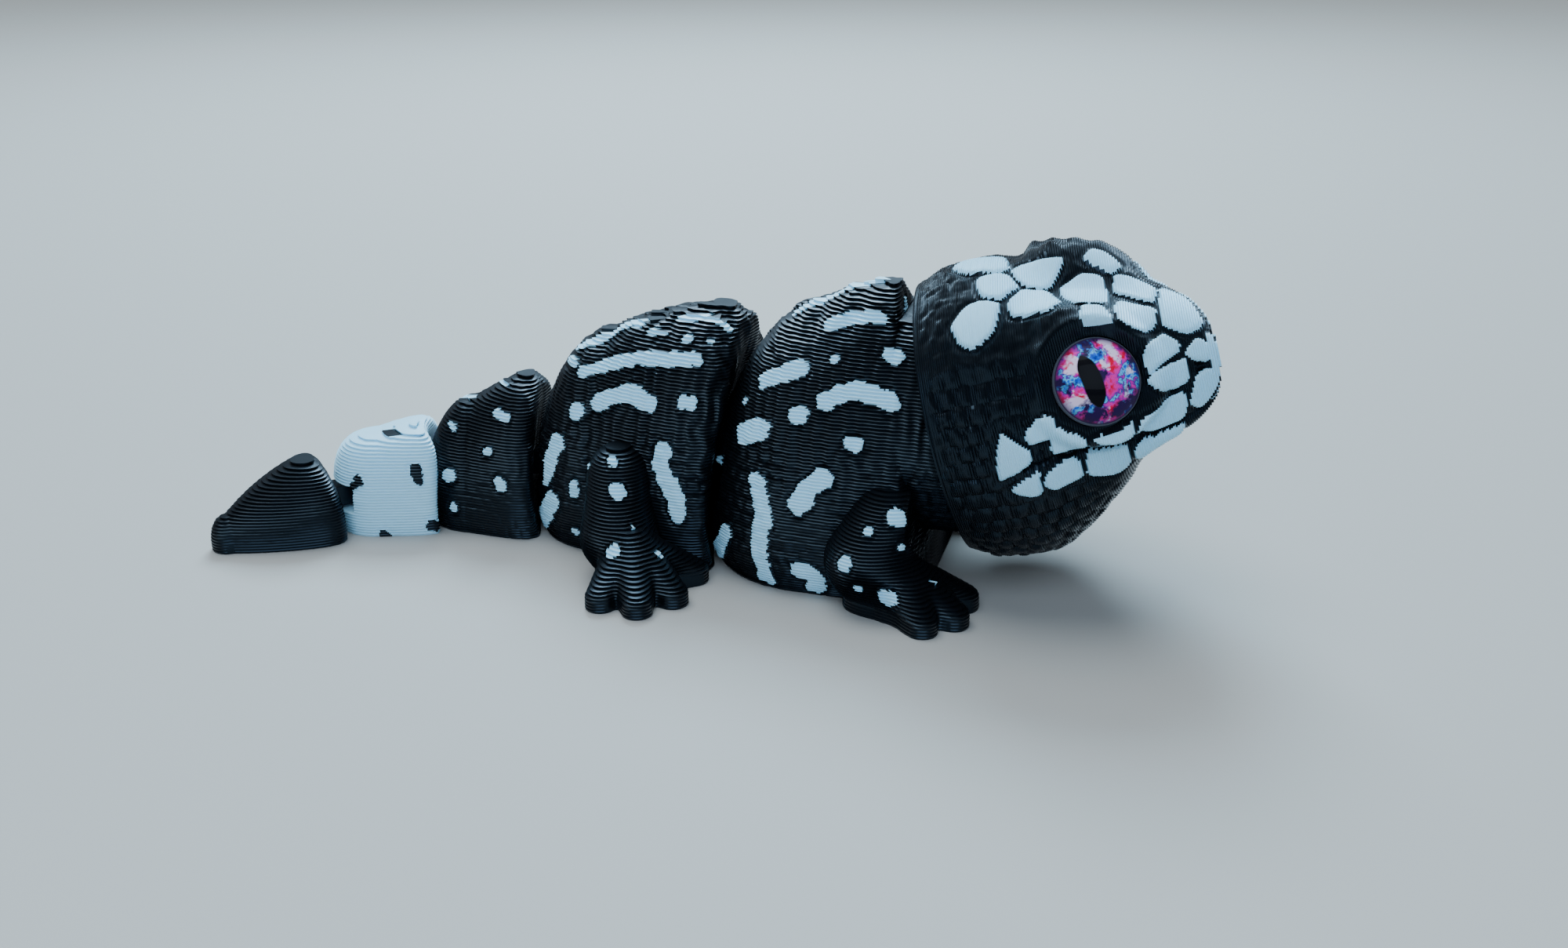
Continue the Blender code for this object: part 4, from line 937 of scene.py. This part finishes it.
def move(piece, to):
    """Moves a piece's points by a matrix in millimetres."""
    at = to.copy()
    at.translation = at.translation * MM
    piece.data.transform(at)


def place(piece, body, node, slot):
    move(piece, FRAMES[body])
    piece.data.update()
    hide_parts(node)
    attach(piece, body)


# The beads: sides of a ring, height of the middle line, marks, depth and seed of the relief, layers' seed
BEAD_LOOKS = dict(
    front_body=(430, 9.0, FRONT_MARKS, 1.0, 2, 1),
    rear_body=(400, 8.0, REAR_MARKS, 1.0, 9, 9),
    tail_base=(300, 5.0, TAIL_BASE_MARKS, 0.4, 9, 9),
    tail_middle=(260, 4.0, TAIL_MIDDLE_MARKS, 0.15, 11, 11),
    tail_tip=(240, 3.0, (), 0.15, 8, 8),
)
FRONT_BOX = (-13.0, 17.0, -13.5, 13.5)
for k, (name, bead) in enumerate(CHAIN):
    sides, level, marks, depth, relief_seed, seed = BEAD_LOOKS[name]
    if name == "front_body":
        distance, box = front_bead, FRONT_BOX
    else:
        before, wide = CHAIN[k - 1][1], max(bead.front_half, bead.rear_half) + 1.0
        distance = bead_behind(bead, before)
        box = (bead.rear_x - bead.rear_half - 1.0, 0.0, -wide, wide)
    strokes = stroke_segments(marks, distance, level)
    relief = body_relief(bead, level, relief_seed, depth)
    points, faces = printed_stack(distance, box, sides, level, relief, strokes, seed)
    piece = piece_of(points, faces, name + "_look")
    if name != "front_body":
        hinge = HINGES[name]
        add_tongue(piece, hinge, Matrix.Translation((0, 0, hinge.z)) @ turned(180, "Z"),
                   before.rear_half + GAP + TONGUE_ROOT)
    if name != "tail_tip":
        hinge, rear_x = HINGES[CHAIN[k + 1][0]], bead.rear_x
        cut_slot(piece, hinge, Matrix.Translation((rear_x, 0, hinge.z)), bead.rear_half + SLOT_PAST)
    if name == "front_body":
        socket = tool_of(ball(BALL + GAP, 40, 24))
        opening = cylinder(MOUTH_REAR, 0.6, NECK_FRONT + 1.0, 32, MOUTH_FRONT)
        combine(socket, tool_of(opening, turned(90, "Y")), "UNION")
        move(socket, Matrix.Translation(NECK))
        combine(piece, socket, "DIFFERENCE")
    white = name == "tail_middle"
    colour(piece, (WHITE, BLACK) if white else (BLACK, WHITE), mark_depth(face_middles(piece), strokes) > 0)
    place(piece, name, name, "white_plastic" if white else "black_plastic")

# The legs: the left ones are the right ones mirrored
LEG_SIDES, LEG_SEED, SPOT = 260, 6.0, 1e-4
rear_bead = bead_behind(BEADS["rear_body"], BEADS["front_body"])
for limb, bars, toes, body, room, marks, rides in (
    ("front_leg", FRONT_LEG, FRONT_TOES, front_bead, head_room, FRONT_LEG_MARKS, "front_body"),
    ("hind_leg", HIND_LEG, HIND_TOES, rear_bead, None, HIND_LEG_MARKS, "rear_body"),
):
    distance = leg_distance(bars, toes, body, room)
    box = (toes[0] - 9.0, toes[0] + 9.0, -24.0, -6.0)
    dots = [(np.array(p), np.array(p) + SPOT, r, k) for k, (p, r) in enumerate(marks)]
    points, faces = printed_stack(distance, box, LEG_SIDES, TOE_LEVEL, None, dots, LEG_SEED)
    for side, name in ((1, "right"), (-1, "left")):
        piece = piece_of(points * (1.0, side, 1.0), [f[::side] for f in faces], f"{limb}_{name}_look")
        marked = mark_depth(face_middles(piece) * (1.0, side, 1.0), dots) > 0
        colour(piece, (BLACK, WHITE), marked)
        place(piece, rides, f"{limb}_{name}", "black_plastic")

# The head and its neck
HEAD_SIDES, BEYOND = 390, 20
head = piece_of(*printed_head(HEAD_SIDES), "head_look")
cup = tool_of(ball(CUP, 96, 60))
combine(cup, tool_of(prism(rectangle(CUP_DEPTH, BEYOND, BEYOND), -BEYOND, BEYOND)), "DIFFERENCE")
combine(head, cup, "DIFFERENCE")
add_tongue(head, HINGES["head"], turned(-HEAD_ROLL, "X") @ PITCH_AXIS, CUP_DEPTH + TONGUE_ROOT)
for side in (1, -1):
    seat = cylinder(EYE_RADIUS + SEAT_CLEAR, -SEAT_DEPTH - SEAM, 6.0, 96)
    combine(head, tool_of(seat, eye_frame(side)), "DIFFERENCE")
# each face takes its colour from the middle of its layer, and those inside the cup stay black
INNER_SHARE = 0.75
middles = face_middles(head)
turns = np.arctan2(-middles[:, 1], middles[:, 2])
layer_s = (np.floor((middles[:, 0] + RIM_TO_NECK) / HEAD_LAYER) + 0.5) * HEAD_LAYER
layer_s = np.clip(layer_s, HEAD_LAYER / 2, STATIONS[-1] - HEAD_LAYER / 2)
outer = np.hypot(middles[:, 1], middles[:, 2]) > INNER_SHARE * head_skin(layer_s, turns)
colour(head, (BLACK, WHITE), head_relief(layer_s, turns)[1] & outer)
place(head, "head", "head", "black_plastic")

neck_ball = tool_of(ball(BALL, 48, 32))
neck_ball.name = "neck_ball_look"
cut_slot(neck_ball, HINGES["head"], PITCH_AXIS @ turned(180, "Z"), BALL + NECK_SLOT_PAST)
colour(neck_ball, (BLACK,), np.zeros(len(neck_ball.data.polygons)))
place(neck_ball, "neck", "neck_ball", "black_plastic")

# The eyes
DOME_RINGS, DOME_SIDES, DOME_BEVEL = 22, 96, 0.1


def make_eye(name, side):
    """A glass dome, with its printed iris laid out on a map seen from the front."""
    sphere = (EYE_RADIUS ** 2 + EYE_DOME ** 2) / (2 * EYE_DOME)
    tilts = [asin(EYE_RADIUS / sphere) * i / DOME_RINGS for i in range(1, DOME_RINGS + 1)]
    profile = [(sphere * sin(t), EYE_EDGE + EYE_DOME - sphere * (1 - cos(t))) for t in tilts]
    profile += [(EYE_RADIUS, EYE_EDGE * 0.5), (EYE_RADIUS - DOME_BEVEL, 0.0)]
    turns = np.arange(DOME_SIDES) * 2 * pi / DOME_SIDES
    rings = [np.stack([r * np.cos(turns), r * np.sin(turns), np.full(DOME_SIDES, z)], -1)
             for r, z in profile[::-1]]
    points, faces = ring_mesh([np.array(rings)])
    points[-1] = (0, 0, EYE_EDGE + EYE_DOME)
    piece = piece_of(points, faces, name + "_look")
    layout = piece.data.uv_layers.new(name="Eye")
    corners = np.array([tuple(piece.data.vertices[c.vertex_index].co) for c in piece.data.loops])
    corners = corners / MM / EYE_RADIUS
    layout.data.foreach_set("uv", (corners[:, :2] * (side, 1.0)).astype(np.float32).ravel())
    piece.data.materials.append(EYE)
    move(piece, eye_frame(side) @ Matrix.Translation((0, 0, -SEAT_DEPTH)))
    smooth(piece, EYE_SHARP)
    place(piece, "head", name, "printed_glass")


make_eye("eye_right", 1)
make_eye("eye_left", -1)

# The view, floor and light
CAMERA_ASIDE, CAMERA_AWAY, CAMERA_HEIGHT, CAMERA_TURN, CAMERA_DOWN = 3.9, 142.7, 65.0, 15.5, 21.8
heading = radians(CAMERA_TURN)
lens = bpy.data.cameras.new("Camera")
lens.lens, lens.sensor_width, lens.clip_start, lens.clip_end = 36.0, 36.0, 0.005, 20.0
camera = object_of(lens, "Camera")
camera.location = Vector((-CAMERA_ASIDE * cos(heading) + CAMERA_AWAY * sin(heading),
                          -CAMERA_ASIDE * sin(heading) - CAMERA_AWAY * cos(heading),
                          CAMERA_HEIGHT)) * MM
camera.rotation_euler = (radians(90.0 - CAMERA_DOWN), 0.0, heading)
scene.camera = camera

FLOOR = 4  # half the floor's side, in metres
floor_data = bpy.data.meshes.new("Floor")
floor_data.from_pydata([(x, y, 0) for x, y in rectangle(-FLOOR, FLOOR, FLOOR)], [], [(0, 1, 2, 3)])
floor = object_of(floor_data, "Floor")
pale, _, shader = material("Floor")
set_inputs(shader, {"Base Color": (0.42, 0.41, 0.39, 1), "Roughness": 0.7})
floor_data.materials.append(pale)


def lamp(kind, name, at, aim, power, tint, size):
    """A square area lamp with a side in metres, or a sun with an angle in degrees."""
    data = bpy.data.lights.new(name, kind)
    data.energy, data.color = power, tint
    if kind == "SUN":
        data.angle = radians(size)
    else:
        data.shape, data.size = "SQUARE", size
    made = object_of(data, name)
    made.location = at
    made.rotation_euler = (Vector(aim) - Vector(at)).to_track_quat("-Z", "Y").to_euler()
    return made


lights = [
    lamp("SUN", "Sky", (-0.25, 0.1, 1.0), (0, 0, 0), 2.3, (0.84, 0.94, 1.0), 45),
    lamp("AREA", "Window", (-0.12, 0.36, 0.40), (-0.01, 0, 0.01), 5.0, (0.58, 0.82, 1.0), 0.24),
    lamp("AREA", "Front", (0.12, -0.44, 0.36), (0.0, 0, 0.01), 2.6, (0.66, 0.82, 1.0), 0.55),
]
world = bpy.data.worlds.new("Studio")
world.use_nodes = True
set_inputs(world.node_tree.nodes["Background"], {"Color": (0.78, 0.86, 0.95, 1), "Strength": 0.14})
scene.world = world
